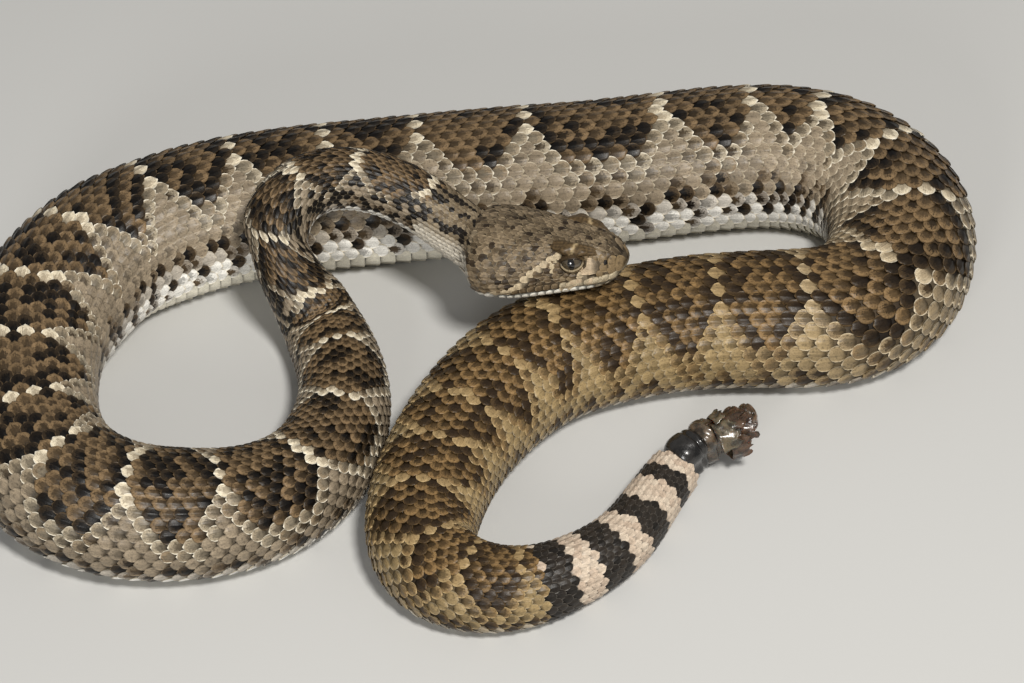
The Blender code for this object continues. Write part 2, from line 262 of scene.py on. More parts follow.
def round_turn():
    turn = np.arange(RING_POINTS) * 2 * math.pi / RING_POINTS
    return np.cos(turn), np.sin(turn)


def powered(values, squareness):
    return np.sign(values) * np.abs(values) ** (2 / squareness)


class Body:
    """The snake's belly line with the width, height and bend at each distance from the snout."""

    def __init__(self):
        head_axis = in_head(np.array(HEAD_AXIS_POINTS), 0.0, 0.0)
        knots = np.vstack([head_axis, np.array(ROUTE, float)])
        chord = np.concatenate([[0], np.cumsum(np.linalg.norm(np.diff(knots, axis=0), axis=1))])
        fine = smooth_through(chord, knots, np.arange(0, chord[-1], PATH_STEP / 4))
        fine[:, 2] = np.maximum(fine[:, 2], 0)
        _, path = spread_evenly(fine, PATH_STEP)
        along, self.path = spread_evenly(evened(path, PATH_PASSES), PATH_STEP)
        self.along = along + HEAD_AXIS_POINTS[0]
        self.length = self.along[-1]
        girth = np.array(GIRTH)
        sizes = np.stack([np.interp(self.along, girth[:, 0], girth[:, k]) for k in (1, 2)], axis=1)
        self.sizes = evened(sizes, GIRTH_PASSES)
        tangents = evened(np.gradient(self.path, axis=0), 2)
        self.tangents = tangents / np.linalg.norm(tangents, axis=1)[:, None]
        self.turning = evened(np.gradient(self.tangents, self.along, axis=0), 6)

    def read(self, rows, where):
        return np.array([np.interp(where, self.along, rows[:, k]) for k in range(rows.shape[1])])

    def frame(self, where):
        """Belly point, direction towards the tail, the snake's left, and up, at this distance."""
        centre = self.read(self.path, where)
        tailward = self.read(self.tangents, where)
        tailward /= np.linalg.norm(tailward)
        left = np.cross(tailward, (0, 0, 1))
        left /= np.linalg.norm(left)
        up = np.cross(left, tailward)
        roll = HEAD_ROLL * np.clip(1 - (where - HEAD_LENGTH) / NECK_LENGTH, 0, 1)
        return (
            centre,
            tailward,
            left * math.cos(roll) + up * math.sin(roll),
            up * math.cos(roll) - left * math.sin(roll),
        )

    def ring(self, where):
        """Outline of the body at this distance."""
        centre, _, left, up = self.frame(where)
        width, share = self.read(self.sizes, where)
        out, height = body_outline(width, width * share)
        bend = self.read(self.turning, where) @ left
        inner = np.maximum(out * np.sign(bend), 0) * abs(bend) / INNER_BEND_SHARE
        out = out / (1 + inner**4) ** 0.25
        return centre + np.outer(out, left) + np.outer(height, up)


def body_outline(width, height):
    """Round back over a flattened belly, as distances to the left and up."""
    cosine, sine = round_turn()
    back = sine >= 0
    widest = BODY_WIDEST_AT * height
    out = np.where(back, powered(cosine, BACK_SQUARENESS), powered(cosine, BELLY_SQUARENESS))
    upper = widest + (height - widest) * powered(sine, BACK_SQUARENESS)
    lower = widest + widest * powered(sine, BELLY_SQUARENESS)
    tall = np.where(back, upper, lower)
    return out * width / 2, np.where(tall < BELLY_FLAT * height, 0.0, tall)


def eye_distance(back, out, height):
    """Distance of points of the head from the middle of the eye on their side."""
    return np.sqrt((back - EYE_AT) ** 2 + (np.abs(out) - EYE_OUT) ** 2 + (height - EYE_HEIGHT) ** 2)


def head_ring(back):
    """Outline of the head at this distance behind the snout, rounded off in front of it."""
    rows = np.array(HEAD_SHAPE)
    half, crown, chin = smooth_through(rows[:, 0], rows[:, 1:], np.array([max(back, 0.0)]))[0]
    cosine, sine = round_turn()
    squareness = np.interp(back, CROWN_AT, CROWN_SQUARENESS)
    lean = np.interp(back, CROWN_AT, CROWN_LEAN)
    widest = chin + HEAD_WIDEST_AT * (crown - chin)
    above = sine >= 0
    out = np.where(above, powered(cosine, squareness), powered(cosine, JAW_SQUARENESS)) * half
    lift = np.where(above, powered(sine, squareness), 0.0)
    height = np.where(
        above,
        widest + (crown - widest) * lift,
        widest + (widest - chin) * powered(sine, JAW_SQUARENESS),
    )
    brow = math.exp(-(((back - BROW_AT) / BROW_REACH) ** 2)) * np.exp(-(((lift - 0.9) / 0.25) ** 2))
    out = out * (1 - lean * lift) + np.sign(out) * BROW_SWELL * brow * (np.abs(cosine) > 0.3)
    if back < 0:
        shrink = math.sqrt(max(1 - (back / SNOUT_BULGE) ** 2, 0.0))
        out = out * shrink
        height = SNOUT_MIDDLE + (height - SNOUT_MIDDLE) * shrink
    return in_head(back, out, height)


def ring_at(body, where):
    """Outline at this distance, passing from the head's own shape into the neck's."""
    part = np.clip((where - HEAD_BLENDS_FROM) / (HEAD_LENGTH - HEAD_BLENDS_FROM), 0, 1)
    part = part * part * (3 - 2 * part)
    if part == 0:
        return head_ring(where)
    if part == 1:
        return body.ring(where)
    return head_ring(where) * (1 - part) + body.ring(where) * part


class Surface:
    """The outside as a grid: rows from snout to tail's end, columns across from belly to belly."""

    def __init__(self):
        body = Body()
        cap = -SNOUT_BULGE * np.cos(np.linspace(0.12, math.pi / 2, 7)[:-1])
        head = np.arange(0, HEAD_LENGTH, 0.4)
        trunk = np.linspace(HEAD_LENGTH, body.length, int(body.length - HEAD_LENGTH))
        self.body = body
        self.along = np.concatenate([cap, head, trunk])
        self.length = body.length
        top, bottom = RING_POINTS // 4, RING_POINTS * 3 // 4
        to_left = np.arange(top, bottom - RING_POINTS - 1, -1) % RING_POINTS
        to_right = np.arange(top, bottom + 1)
        degrees = np.arange(len(to_left)) * 360 / RING_POINTS
        spread = np.linspace(-1, 1, ACROSS)
        points, angles, halves, self.arcs = [], [], [], []
        for where in self.along:
            ring = ring_at(body, where)
            left, right = ring[to_left], ring[to_right]
            arcs = []
            for side in (left, right):
                arc = np.concatenate([[0], np.cumsum(np.linalg.norm(np.diff(side, axis=0), axis=1))])
                halves.append(arc[-1])
                arcs.append(arc / arc[-1])
            row = [
                np.where(
                    spread >= 0,
                    np.interp(spread, arcs[0], left[:, k]),
                    np.interp(-spread, arcs[1], right[:, k]),
                )
                for k in range(3)
            ]
            points.append(np.stack(row, axis=1))
            turned = [np.interp(np.abs(spread), arc, degrees) for arc in arcs]
            angles.append(np.where(spread >= 0, *turned))
            self.arcs.append(arcs[0])
        self.degrees = degrees
        self.points = np.array(points)
        self.soften_neck()
        self.angles = np.array(angles)
        self.halves = np.array(halves).reshape(-1, 2).mean(axis=1)
        self.find_normals()
        self.shape_head()
        self.find_normals()
        step = np.gradient(self.points, self.along, axis=0)
        self.stretch = np.linalg.norm(step, axis=2)

    def soften_neck(self):
        """Lets the head run smoothly into the neck, and the neck come down in a smooth bend."""
        for start, end, passes in EVENED:
            first, last = np.searchsorted(self.along, (start, end))
            self.points[first:last] = evened(self.points[first:last], passes)

    def find_normals(self):
        """Directions straight out of the surface."""
        down = np.gradient(self.points, self.along, axis=0)
        wide = np.empty_like(self.points)
        wide[:, 1:-1] = self.points[:, 2:] - self.points[:, :-2]
        wide[:, 0] = wide[:, -1] = self.points[:, 1] - self.points[:, -2]
        normals = np.cross(wide, down)
        self.normals = normals / np.maximum(np.linalg.norm(normals, axis=2), 1e-9)[..., None]

    def in_head_terms(self, points):
        """Distance behind the snout, to the left and height of points, as the head has them."""
        origin, forward, left, up = head_frame()
        offset = points - origin
        return -(offset @ forward), offset @ left, offset @ up

    def shape_head(self):
        """Eye rims, nostrils, heat pits and the mouth's groove, pressed into the head."""
        back, out, height = self.in_head_terms(self.points)
        rows = (self.along < 40)[:, None]
        sided = np.abs(out)
        from_eye = eye_distance(back, out, height)
        push = 0.3 * np.exp(-(((from_eye - 4.1) / 0.5) ** 2))
        push -= 2.2 * (1 - step_up(2.9, 3.6, from_eye))
        for place, depth, reach in (((1.7, 4.5, 7.7), 1.0, 0.6), ((6.2, 7.9, 3.9), 1.4, 0.85)):
            away = (back - place[0]) ** 2 + (sided - place[1]) ** 2 + (height - place[2]) ** 2
            push -= depth * np.exp(-away / reach**2)
            push += 0.2 * np.exp(-(((np.sqrt(away) - 2 * reach) / 0.35) ** 2))
        from_mouth = height - np.interp(back, MOUTH_BACK, MOUTH_HEIGHT)
        on_side = step_up(0.25, 0.6, sided / (1 + 0.3 * np.clip(back, 0, 40))) + (back < 1.5)
        groove = np.exp(-((from_mouth / 0.3) ** 2)) * (1 - step_up(31, 35, back))
        push -= 0.42 * groove * np.clip(on_side, 0, 1)
        self.points = self.points + np.where(rows, push, 0)[..., None] * self.normals

    def read(self, field, along, across):
        """Values of a field of the grid at places on the snake's own surface."""
        turned = across + np.interp(along, ROLL_AT, ROLL) / 180
        turned = (turned + 1) % 2 - 1
        row = np.interp(along, self.along, np.arange(len(self.along)))
        column = (turned + 1) / 2 * (ACROSS - 1)
        low_row = np.clip(row.astype(int), 0, len(self.along) - 2)
        low_column = np.clip(column.astype(int), 0, ACROSS - 2)
        part = row - low_row
        share = column - low_column
        if field.ndim == 3:
            part, share = part[:, None], share[:, None]
        return (
            field[low_row, low_column] * (1 - part) * (1 - share)
            + field[low_row + 1, low_column] * part * (1 - share)
            + field[low_row, low_column + 1] * (1 - part) * share
            + field[low_row + 1, low_column + 1] * part * share
        )

    def place(self, along, across, height):
        """Points this high over the skin, in millimetres."""
        inside = np.clip(along, self.along[0], self.length)
        beyond = (along - inside)[:, None]
        normals = self.read(self.normals, inside, across)
        normals /= np.maximum(np.linalg.norm(normals, axis=1), 1e-9)[:, None]
        raised = height - np.interp(along, SKIN_DEPTH_AT, SKIN_DEPTH)
        points = self.read(self.points, inside, across) + normals * raised[:, None]
        tangent = self.body.tangents[-1] * (beyond > 0) + head_frame()[1] * (beyond < 0)
        points = points + tangent * np.abs(beyond)
        points[:, 2] = np.maximum(points[:, 2], 0.01)
        return points

    def across_at(self, back, degrees):
        """Place across at an angle from the top of the head, at a distance behind the snout."""
        row = int(np.abs(self.along - back).argmin())
        return float(np.interp(degrees, self.degrees, self.arcs[row]))

    def side_angle(self, back, height):
        """Angle from the top at which the head's side has this height."""
        row = int(np.abs(self.along - back).argmin())
        half = self.points[row][ACROSS // 2 :]
        _, _, heights = self.in_head_terms(half)
        angles = self.angles[row][ACROSS // 2 :]
        order = np.argsort(heights)
        return float(np.interp(height, heights[order], angles[order]))


def row_width(along):
    """Distance across from one row of scales to the next."""
    return 2 * BACK_SHARE / np.interp(along, ROWS_AT, ROWS)


def pitch(along):
    return np.interp(along, PITCH_AT, PITCH)


def column_places(start, end):
    """Distances from the snout of the scale columns, and the number of each."""
    fine = np.arange(-1, COUNT_TO, COUNT_STEP)
    count = np.concatenate([[0], np.cumsum(COUNT_STEP / pitch(fine[:-1]))])
    numbers = np.arange(math.ceil(np.interp(start, fine, count) * 2), np.interp(end, fine, count) * 2)
    return np.interp(numbers / 2, count, fine), numbers.astype(int)


def tail_colours(along, across, chance):
    """Black bands on pale pinkish grey."""
    banded = np.zeros(len(along), bool)
    for middle, half in TAIL_BANDS:
        banded |= np.abs(along - middle + 0.6 * (chance[:, 0] - 0.5)) < half
    pale = mix(linear(206, 190, 170), linear(188, 168, 148), chance[:, 1])
    black = mix(linear(30, 27, 24), linear(52, 46, 40), chance[:, 1])
    under = np.abs(across) > 0.8
    tone = np.where((banded & ~(under & (chance[:, 2] < 0.5)))[:, None], black, pale)
    return tone * 0.8, tone, mix(tone, linear(210, 198, 182), np.where(banded, 0.12, 0.45))


def body_colours(along, across, chance):
    """Colours of the middle, the body and the edge of scales between nape and tail."""
    rows = np.abs(across) / row_width(along)
    scale = np.interp(along, ROWS_AT, ROWS) / 25
    low = rows / scale
    tan = step_up(570, 665, along)
    index = np.clip(np.searchsorted(GAPS, along) - 1, 0, len(GAPS) - 2)
    before, after = GAPS[index], GAPS[index + 1]
    near = np.minimum(np.abs(along - before), np.abs(after - along)) / pitch(along)
    half = (after - before) / 2 / pitch(along)
    reach = np.minimum(3.0 * scale + 2.1 * (near - 0.4), 6.7 * scale)
    inside = np.minimum(reach - rows, (near - 0.16) * 4)

    white = step_up(9.6, 11.2, low) * (1 - 0.55 * tan)
    ground = mix(linear(143, 129, 109), linear(150, 129, 92), tan) * (0.78 + 0.38 * chance[:, :1])
    ground = mix(ground, linear(240, 237, 229), white)
    inner = ground * np.where(chance[:, 2:] > 0.86, 0.45, 0.82)
    tone = ground
    edged = step_up(320, 400, along) * (1 - 0.5 * step_up(600, 680, along))
    rim = mix(ground * 0.62, mix(ground, CREAM, 0.42 + 0.4 * white), np.maximum(edged, white))

    def paint(where, middle, body, edges):
        nonlocal inner, tone, rim
        where = where[:, None]
        inner = np.where(where, middle, inner)
        tone = np.where(where, body, tone)
        rim = np.where(where, edges, rim)

    brown = mix(linear(101, 83, 60), linear(106, 84, 54), tan) * (0.78 + 0.44 * chance[:, 1:2])
    jet = mix(linear(12, 9, 7), linear(44, 33, 21), tan * 0.9)
    pale = mix(CREAM, linear(176, 150, 104), tan * 0.92)

    away = np.hypot(near / 1.25, (low - 9.3) / 1.3)
    away = np.minimum(away, np.hypot((near - half) / 1.2, (low - 9.2) / 0.9))
    away = np.minimum(away, np.hypot((near - half / 2) / 0.9, (low - 11.0) / 1.7))
    away = away + 0.5 * (chance[:, 2] - 0.4)
    shadow = (away < 0.85) & (low > 7.4)
    shadow_tone = mix(brown * 0.9, ground, 0.25 + 0.5 * chance[:, 1])
    paint(shadow, mix(jet, brown * 0.7, chance[:, 0]), shadow_tone, ground)
    paint(shadow & (away < 0.48), jet, mix(jet, brown, 0.15 + 0.3 * chance[:, 0]), mix(brown, ground, 0.3))

    border = (inside > -1.5) & (inside <= 0.5) & (rows < 8 * scale)
    root = mix(brown * 0.36, pale, 0.2 * chance[:, 0])
    paint(border, root, mix(pale, brown, 0.6 + 0.3 * chance[:, 1]), mix(pale, WHITE, 0.4 * (1 - tan)))
    midline_gap = (near <= 0.285) & (rows < 3.4 * scale)
    gap_edge = mix(pale, WHITE, 0.6 * (1 - tan))
    paint(midline_gap, mix(pale, brown, 0.6), mix(pale, brown, 0.15 + 0.3 * tan), gap_edge)

    blotch = inside > 0.5
    paint(blotch, brown * (0.1 + 0.45 * chance[:, 2:]), brown * 1.32, brown * 0.9)
    dotted = (inside < 2.5) & (rows > 3.2 * scale) & (chance[:, 2] < 0.62)
    dotted |= (near < 1.3) & (rows < 3.4 * scale) & (chance[:, 2] < 0.4)
    dotted |= (inside < 1.9) & (tan > 0.4) & (chance[:, 2] < 0.8)
    dots_at, dots_share = (150, 230, 400, 460, 600, 700), (0.3, 0.45, 0.4, 0.1, 0.1, 0.3)
    dotted |= chance[:, 2] < np.interp(along, dots_at, dots_share)
    paint(blotch & dotted, jet, mix(jet, brown, 0.05 + 0.2 * chance[:, 0]), brown * 0.7)

    streak = (along < 150) & (rows > 4.6) & (low < 10.5) & (chance[:, 1] < 0.42)
    paint(streak & ~blotch, JET, JET * 1.2, linear(120, 108, 88))
    return inner, tone, rim


def nape_colours(along, across, chance):
    """Dark dashes behind the head, over streaked brown."""
    rows = np.abs(across) / row_width(along)
    base = mix(linear(98, 84, 64), linear(142, 127, 104), chance[:, 0])
    base = mix(base, linear(214, 206, 190), step_up(7.0, 10.5, rows))
    dash = (rows > 0.6) & (rows < 2.9) & (chance[:, 1] < 0.55) & (along > 39)
    dash |= (rows > 4.4) & (rows < 7.6) & (chance[:, 1] < 0.42) & (along > 37)
    tone = np.where(dash[:, None], linear(28, 23, 18), base)
    return tone * 0.7, tone, mix(tone, linear(176, 160, 132), np.where(dash, 0.25, 0.45))


def head_colours(back, degrees, height, chance):
    """Brown crown with clustered flecks, a dark band behind the eye between two pale stripes, pale lips."""
    crown = mix(linear(86, 73, 55), linear(138, 121, 97), chance[:, 0])
    cluster = np.sin(1.15 * back + 0.12 * degrees + 0.7) * np.sin(0.5 * back - 0.19 * degrees + 2.0)
    fleck = chance[:, 1] < 0.08 + 0.6 * step_up(0.2, 0.65, cluster)
    tone = np.where(fleck[:, None], mix(linear(44, 34, 24), crown, 0.5 * chance[:, 2]), crown)
    over_mouth = height - np.interp(back, MOUTH_BACK, MOUTH_HEIGHT)
    snout = (1 - step_up(5, 10, back)) * step_up(30, 55, degrees)
    tone = mix(tone, linear(128, 110, 82), snout * 0.8)
    stripe = np.interp(back, *REAR_STRIPE)
    front = np.interp(back, *FRONT_STRIPE)
    band = step_up(3, 6, degrees - stripe) * step_up(12.5, 14, back) * (1 - step_up(30, 34, back))
    under_eye = step_up(80, 86, degrees) * step_up(9.5, 11, back) * (1 - step_up(14, 16, back))
    band_tone = np.where((chance[:, 1] < 0.35)[:, None], linear(64, 52, 37), linear(102, 86, 64))
    tone = mix(tone, band_tone * (0.8 + 0.4 * chance[:, :1]), np.maximum(band, under_eye))
    pale = (np.abs(degrees - stripe) < 4.0) & (back > 13.5) & (back < 31)
    pale |= (np.abs(degrees - front) < 6) & (back > 7.5) & (back < 16)
    tone = np.where(pale[:, None], STRIPE, tone)
    lip = (over_mouth < 2.3) & (degrees > 80) & (back < 33)
    lip_tone = mix(linear(196, 182, 154), linear(116, 99, 76), step_up(13, 16, back))
    tone = np.where(lip[:, None], mix(lip_tone, tone, 0.3 * chance[:, 0]), tone)
    below = over_mouth < -0.1
    jaw = mix(linear(168, 156, 134), WHITE, step_up(6, 10, back))
    jaw = np.where((over_mouth < -3)[:, None], linear(224, 216, 196), jaw)
    tone = np.where((below & (degrees > 80))[:, None], jaw, tone)
    return tone * 0.7, tone, mix(tone, linear(190, 172, 140), np.where(below, 0.1, 0.4))


def colours(surface, along, across, chance):
    """Colours of the middle, the body and the edge of scales anywhere on the animal."""
    degrees = surface.read(surface.angles, along, across)
    _, _, height = surface.in_head_terms(surface.place(along, across, np.zeros(len(along))))
    back = along + 3.0 * (chance[:, 1] - 0.5)
    parts = np.select([back < NAPE_FROM, back < BODY_FROM, along > TAIL_FROM], [0, 1, 3], 2)[:, None]
    options = (
        head_colours(along, degrees, height, chance),
        nape_colours(along, across, chance),
        body_colours(along, across, chance),
        tail_colours(along, across, chance),
    )
    result = []
    for kind in range(3):
        colour = options[0][kind]
        for number in (1, 2, 3):
            colour = np.where(parts == number, options[number][kind], colour)
        belly = step_up(0.76, 0.8, np.abs(across)) * (along > BODY_FROM) * (along < TAIL_FROM)
        colour = mix(colour, linear(232, 226, 208) * (0.85 + 0.15 * (kind > 0)), belly)
        result.append(np.clip(colour, 0, 1))
    return result


def bake_map(surface, along, across):
    """Place on an unwrap of the skin, which is cut into strips laid side by side."""
    strips = 3
    share = np.clip((along + 2) / (surface.length + 4), 0, 0.9999) * strips
    strip = np.floor(share)
    v = (strip + 0.03 + 0.94 * (across + 1) / 2) / strips
    return 0.01 + 0.98 * (share - strip), v


def set_bake_map(mesh, u, v):
    """Gives each corner its vertex's place on the unwrap."""
    layer = mesh.uv_layers.new(name="OFBake")
    corners = np.empty(len(mesh.loops), np.int32)
    mesh.loops.foreach_get("vertex_index", corners)
    layer.data.foreach_set("uv", np.stack([u[corners], v[corners]], axis=1).ravel())


def set_colour(mesh, name, values):
    layer = mesh.attributes.new(name, "FLOAT_COLOR", "POINT")
    filled = np.concatenate([values, np.ones((len(values), 1))], axis=1)
    layer.data.foreach_set("color", filled.astype(np.float32).ravel())


def set_vector(mesh, name, values):
    layer = mesh.attributes.new(name, "FLOAT_VECTOR", "POINT")
    layer.data.foreach_set("vector", np.asarray(values, np.float32).ravel())


def set_number(mesh, name, values):
    layer = mesh.attributes.new(name, "FLOAT", "POINT")
    layer.data.foreach_set("value", np.asarray(values, np.float32))


def read_rows(data, field):
    """Rows of three numbers out of a mesh's data."""
    values = np.empty(len(data) * 3, np.float32)
    data.foreach_get(field, values)
    return values.reshape(-1, 3)


def in_scene(name, data):
    """A new object in the scene, from a mesh, a light or a camera."""
    item = bpy.data.objects.new(name, data)
    bpy.context.scene.collection.objects.link(item)
    return item


def ring_quads(index):
    """Faces between rows of points that run right round."""
    beside = np.roll(index, -1, axis=1)
    return np.stack([index[:-1], index[1:], beside[1:], beside[:-1]], axis=-1).reshape(-1, 4)


def mesh_from(name, points, faces):
    mesh = bpy.data.meshes.new(name)
    mesh.from_pydata(np.asarray(points, float).tolist(), [], [list(map(int, face)) for face in faces])
    mesh.update()
    return mesh


def finished(name, mesh, finish, nodes=()):
    """Puts a finished piece in the scene, parents it to the body and hides the named parts of the frame."""
    piece = in_scene(name, mesh)
    mesh.shade_smooth()
    mesh.materials.clear()
    mesh.materials.append(finish)
    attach(piece, BODY_NAME)
    if nodes:
        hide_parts(*nodes)
    return piece


class Shader:
    """Small steps that build a material."""

    def __init__(self, name):
        self.finish = bpy.data.materials.new(name)
        self.finish.use_nodes = True
        self.nodes = self.finish.node_tree.nodes
        self.links = self.finish.node_tree.links
        self.surface = self.nodes["Principled BSDF"]

    def put(self, socket, value):
        if isinstance(value, bpy.types.NodeSocket):
            self.links.new(value, socket)
        elif value is not None:
            socket.default_value = value

    def attribute(self, name, kind="Vector"):
        node = self.nodes.new("ShaderNodeAttribute")
        node.attribute_name = name
        return node.outputs[kind]

    def split(self, vector):
        node = self.nodes.new("ShaderNodeSeparateXYZ")
        self.put(node.inputs[0], vector)
        return node.outputs

    def join(self, x, y, z):
        node = self.nodes.new("ShaderNodeCombineXYZ")
        for socket, value in zip(node.inputs, (x, y, z)):
            self.put(socket, value)
        return node.outputs[0]

    def math(self, operation, one, other=None):
        node = self.nodes.new("ShaderNodeMath")
        node.operation = operation
        self.put(node.inputs[0], one)
        self.put(node.inputs[1], other)
        return node.outputs[0]

    def ramp(self, value, low, high, start=0.0, end=1.0):
        node = self.nodes.new("ShaderNodeMapRange")
        node.interpolation_type = "SMOOTHSTEP"
        for socket, given in zip(node.inputs, (value, low, high, start, end)):
            self.put(socket, given)
        return node.outputs[0]

    def blend(self, share, one, other, kind="MIX"):
        node = self.nodes.new("ShaderNodeMix")
        node.data_type = "RGBA"
        node.blend_type = kind
        self.put(node.inputs["Factor"], share)
        self.put(node.inputs[6], one)
        self.put(node.inputs[7], other)
        return node.outputs[2]

    def noise(self, scale, detail=2.0, vector=None):
        node = self.nodes.new("ShaderNodeTexNoise")
        if vector is None:
            vector = self.nodes.new("ShaderNodeTexCoord").outputs["Object"]
        self.put(node.inputs["Vector"], vector)
        node.inputs["Scale"].default_value = scale
        node.inputs["Detail"].default_value = detail
        return node.outputs["Fac"]

    def vary(self, value, noise, amount):
        """The value moved up or down by noise round its middle."""
        return self.math("ADD", value, self.math("MULTIPLY", self.math("SUBTRACT", noise, 0.5), amount))

    def look(self, values):
        """Sets inputs of the surface, by name."""
        for name, value in values.items():
            self.put(self.surface.inputs[name], value)

    def bump(self, height, strength, distance):
        node = self.nodes.new("ShaderNodeBump")
        node.inputs["Strength"].default_value = strength
        node.inputs["Distance"].default_value = distance
        self.put(node.inputs["Height"], height)
        self.put(self.surface.inputs["Normal"], node.outputs[0])


def scale_finish():
    """Scales: dark or pale middle, body colour and edge, with fine streaks along them, and painted shade
    towards each scale's root.
    """
    known = bpy.data.materials.get("scale_finish")
    if known:
        return known
    shader = Shader("scale_finish")
    down, wide, _ = shader.split(shader.attribute("place"))
    seed = shader.attribute("seed", "Fac")
    streak_place = shader.join(
        shader.math("MULTIPLY", down, 0.9),
        shader.math("MULTIPLY", wide, 4.5),
        shader.math("MULTIPLY", seed, 91.0),
    )
    streak = shader.noise(1.6, 3.0, streak_place)
    blur = shader.noise(2600.0, 3.0)
    speckle = shader.noise(1300.0, 3.0)
    side = shader.math("ABSOLUTE", wide)
    from_middle = shader.math("DIVIDE", shader.math("SUBTRACT", down, 0.34), 0.6)
    reach = shader.math(
        "SQRT",
        shader.math(
            "ADD", shader.math("POWER", side, 2.0), shader.math("MULTIPLY", from_middle, from_middle)
        ),
    )
    reach = shader.vary(shader.vary(reach, streak, 0.5), speckle, 1.5)
    middle = shader.ramp(reach, 0.4, 0.88)
    edge = shader.math(
        "MINIMUM",
        shader.math("SUBTRACT", 1.0, side),
        shader.math("MULTIPLY", shader.math("SUBTRACT", 1.0, down), 1.6),
    )
    rim = shader.ramp(shader.vary(edge, blur, 0.16), 0.04, 0.19, 0.95, 0.0)
    colour = shader.blend(middle, shader.attribute("inner", "Color"), shader.attribute("tone", "Color"))
    colour = shader.blend(rim, colour, shader.attribute("rim", "Color"))
    # Painted shade: the colour darkens towards each scale's root, where it slides under the free edge of the
    # scale in front; the noise terms after it are mottling of the scale's own colour.
    shade = shader.ramp(down, 0.05, 0.42, 0.28, 1.0)
    shade = shader.math("MULTIPLY", shade, shader.ramp(blur, 0.25, 0.75, 0.84, 1.14))
    shade = shader.math("MULTIPLY", shade, shader.ramp(streak, 0.25, 0.75, 0.84, 1.14))
    red, green, _ = shader.split(shader.attribute("tone", "Color"))
    fleck = shader.ramp(shader.math("ADD", red, green), 0.7, 1.2, 0.52, 0.86)
    shade = shader.math("MULTIPLY", shade, shader.ramp(speckle, 0.55, 0.66, 1.0, fleck))
    shaded = shader.join(shade, shade, shade)
    colour = shader.blend(1.0, colour, shaded, "MULTIPLY")
    shader.put(shader.surface.inputs["Base Color"], colour)
    shader.put(shader.surface.inputs["Roughness"], shader.ramp(blur, 0.2, 0.8, 0.3, 0.46))
    shader.surface.inputs["Specular IOR Level"].default_value = 0.22
    shader.bump(shader.math("ADD", streak, shader.math("MULTIPLY", blur, 0.6)), 0.35, 0.00012)
    return shader.finish


def skin_finish():
    """Skin between the scales."""
    shader = Shader("skin_finish")
    fine = shader.noise(3200.0, 4.0)
    shade = shader.ramp(fine, 0.2, 0.8, 0.72, 1.12)
    shaded = shader.join(shade, shade, shade)
    colour = shader.blend(1.0, shader.attribute("tone", "Color"), shaded, "MULTIPLY")
    shader.put(shader.surface.inputs["Base Color"], colour)
    shader.look({"Roughness": 0.62, "Specular IOR Level": 0.25})
    shader.bump(fine, 0.4, 0.0001)
    return shader.finish


def template(name, downs, halves, wides, heights, dome, keel, skirt):
    """One scale on a flat grid, thickest where it is free, its edge turned down into the skin."""
    points, places, faces = [], [], []
    columns = len(wides)
    for down, half, height in zip(downs, halves, heights):
        for wide in wides:
            ridge = keel * (wide == 0) * step_up(0.1, 0.35, down) * (1 - 0.6 * step_up(0.8, 1.0, down))
            rounded = down - 0.1 * wide * wide * down
            points.append((rounded - 0.42, wide * half / 2, height + dome * (1 - wide**2) + ridge))
            places.append((down, wide, 0.0))
    for row in range(len(downs) - 1):
        for column in range(columns - 1):
            first = row * columns + column
            faces.append((first, first + 1, first + columns + 1, first + columns))
    last = (len(downs) - 1) * columns
    rim = [row * columns for row in range(len(downs))]
    rim += [last + column for column in range(1, columns)]
    rim += [row * columns + columns - 1 for row in range(len(downs) - 2, -1, -1)]
    base = len(points)
    for corner in rim:
        x, y, z = points[corner]
        points.append((x * 0.94 - 0.02, y * 0.9, min(z, 0.0) - skirt))
        places.append(places[corner])
    for number, (one, other) in enumerate(zip(rim, rim[1:])):
        faces.append((one, base + number, base + number + 1, other))
    mesh = mesh_from(name, points, [face[::-1] for face in faces])
    set_vector(mesh, "place", places)
    return in_scene(name, mesh)


def keeled_shape(keel=0.22):
    return template(
        "keeled_scale",
        (0.0, 0.2, 0.45, 0.7, 0.87, 0.96, 1.0),
        (0.5, 0.8, 1.0, 0.97, 0.8, 0.56, 0.28),
        (-1, -0.62, -0.15, 0, 0.15, 0.62, 1),
        (-0.4, 0.05, 0.38, 0.6, 0.68, 0.66, 0.6),
        0.24, keel, 0.3,
    )


def smooth_shape():
    return template(
        "smooth_scale",
        (0.0, 0.14, 0.5, 0.86, 1.0),
        (0.6, 0.9, 1.0, 0.9, 0.55),
        (-1, -0.8, 0, 0.8, 1),
        (-0.2, 0.35, 0.55, 0.6, 0.34),
        0.3, 0.0, 0.4,
    )


def belly_shape():
    return template(
        "belly_plate",
        (0.0, 0.3, 0.7, 0.9, 1.0),
        (0.97, 1.0, 1.0, 0.98, 0.95),
        tuple(np.linspace(-1, 1, 17)),
        (-0.5, 0.1, 0.5, 0.68, 0.6),
        0.1, 0.0, 0.3,
    )


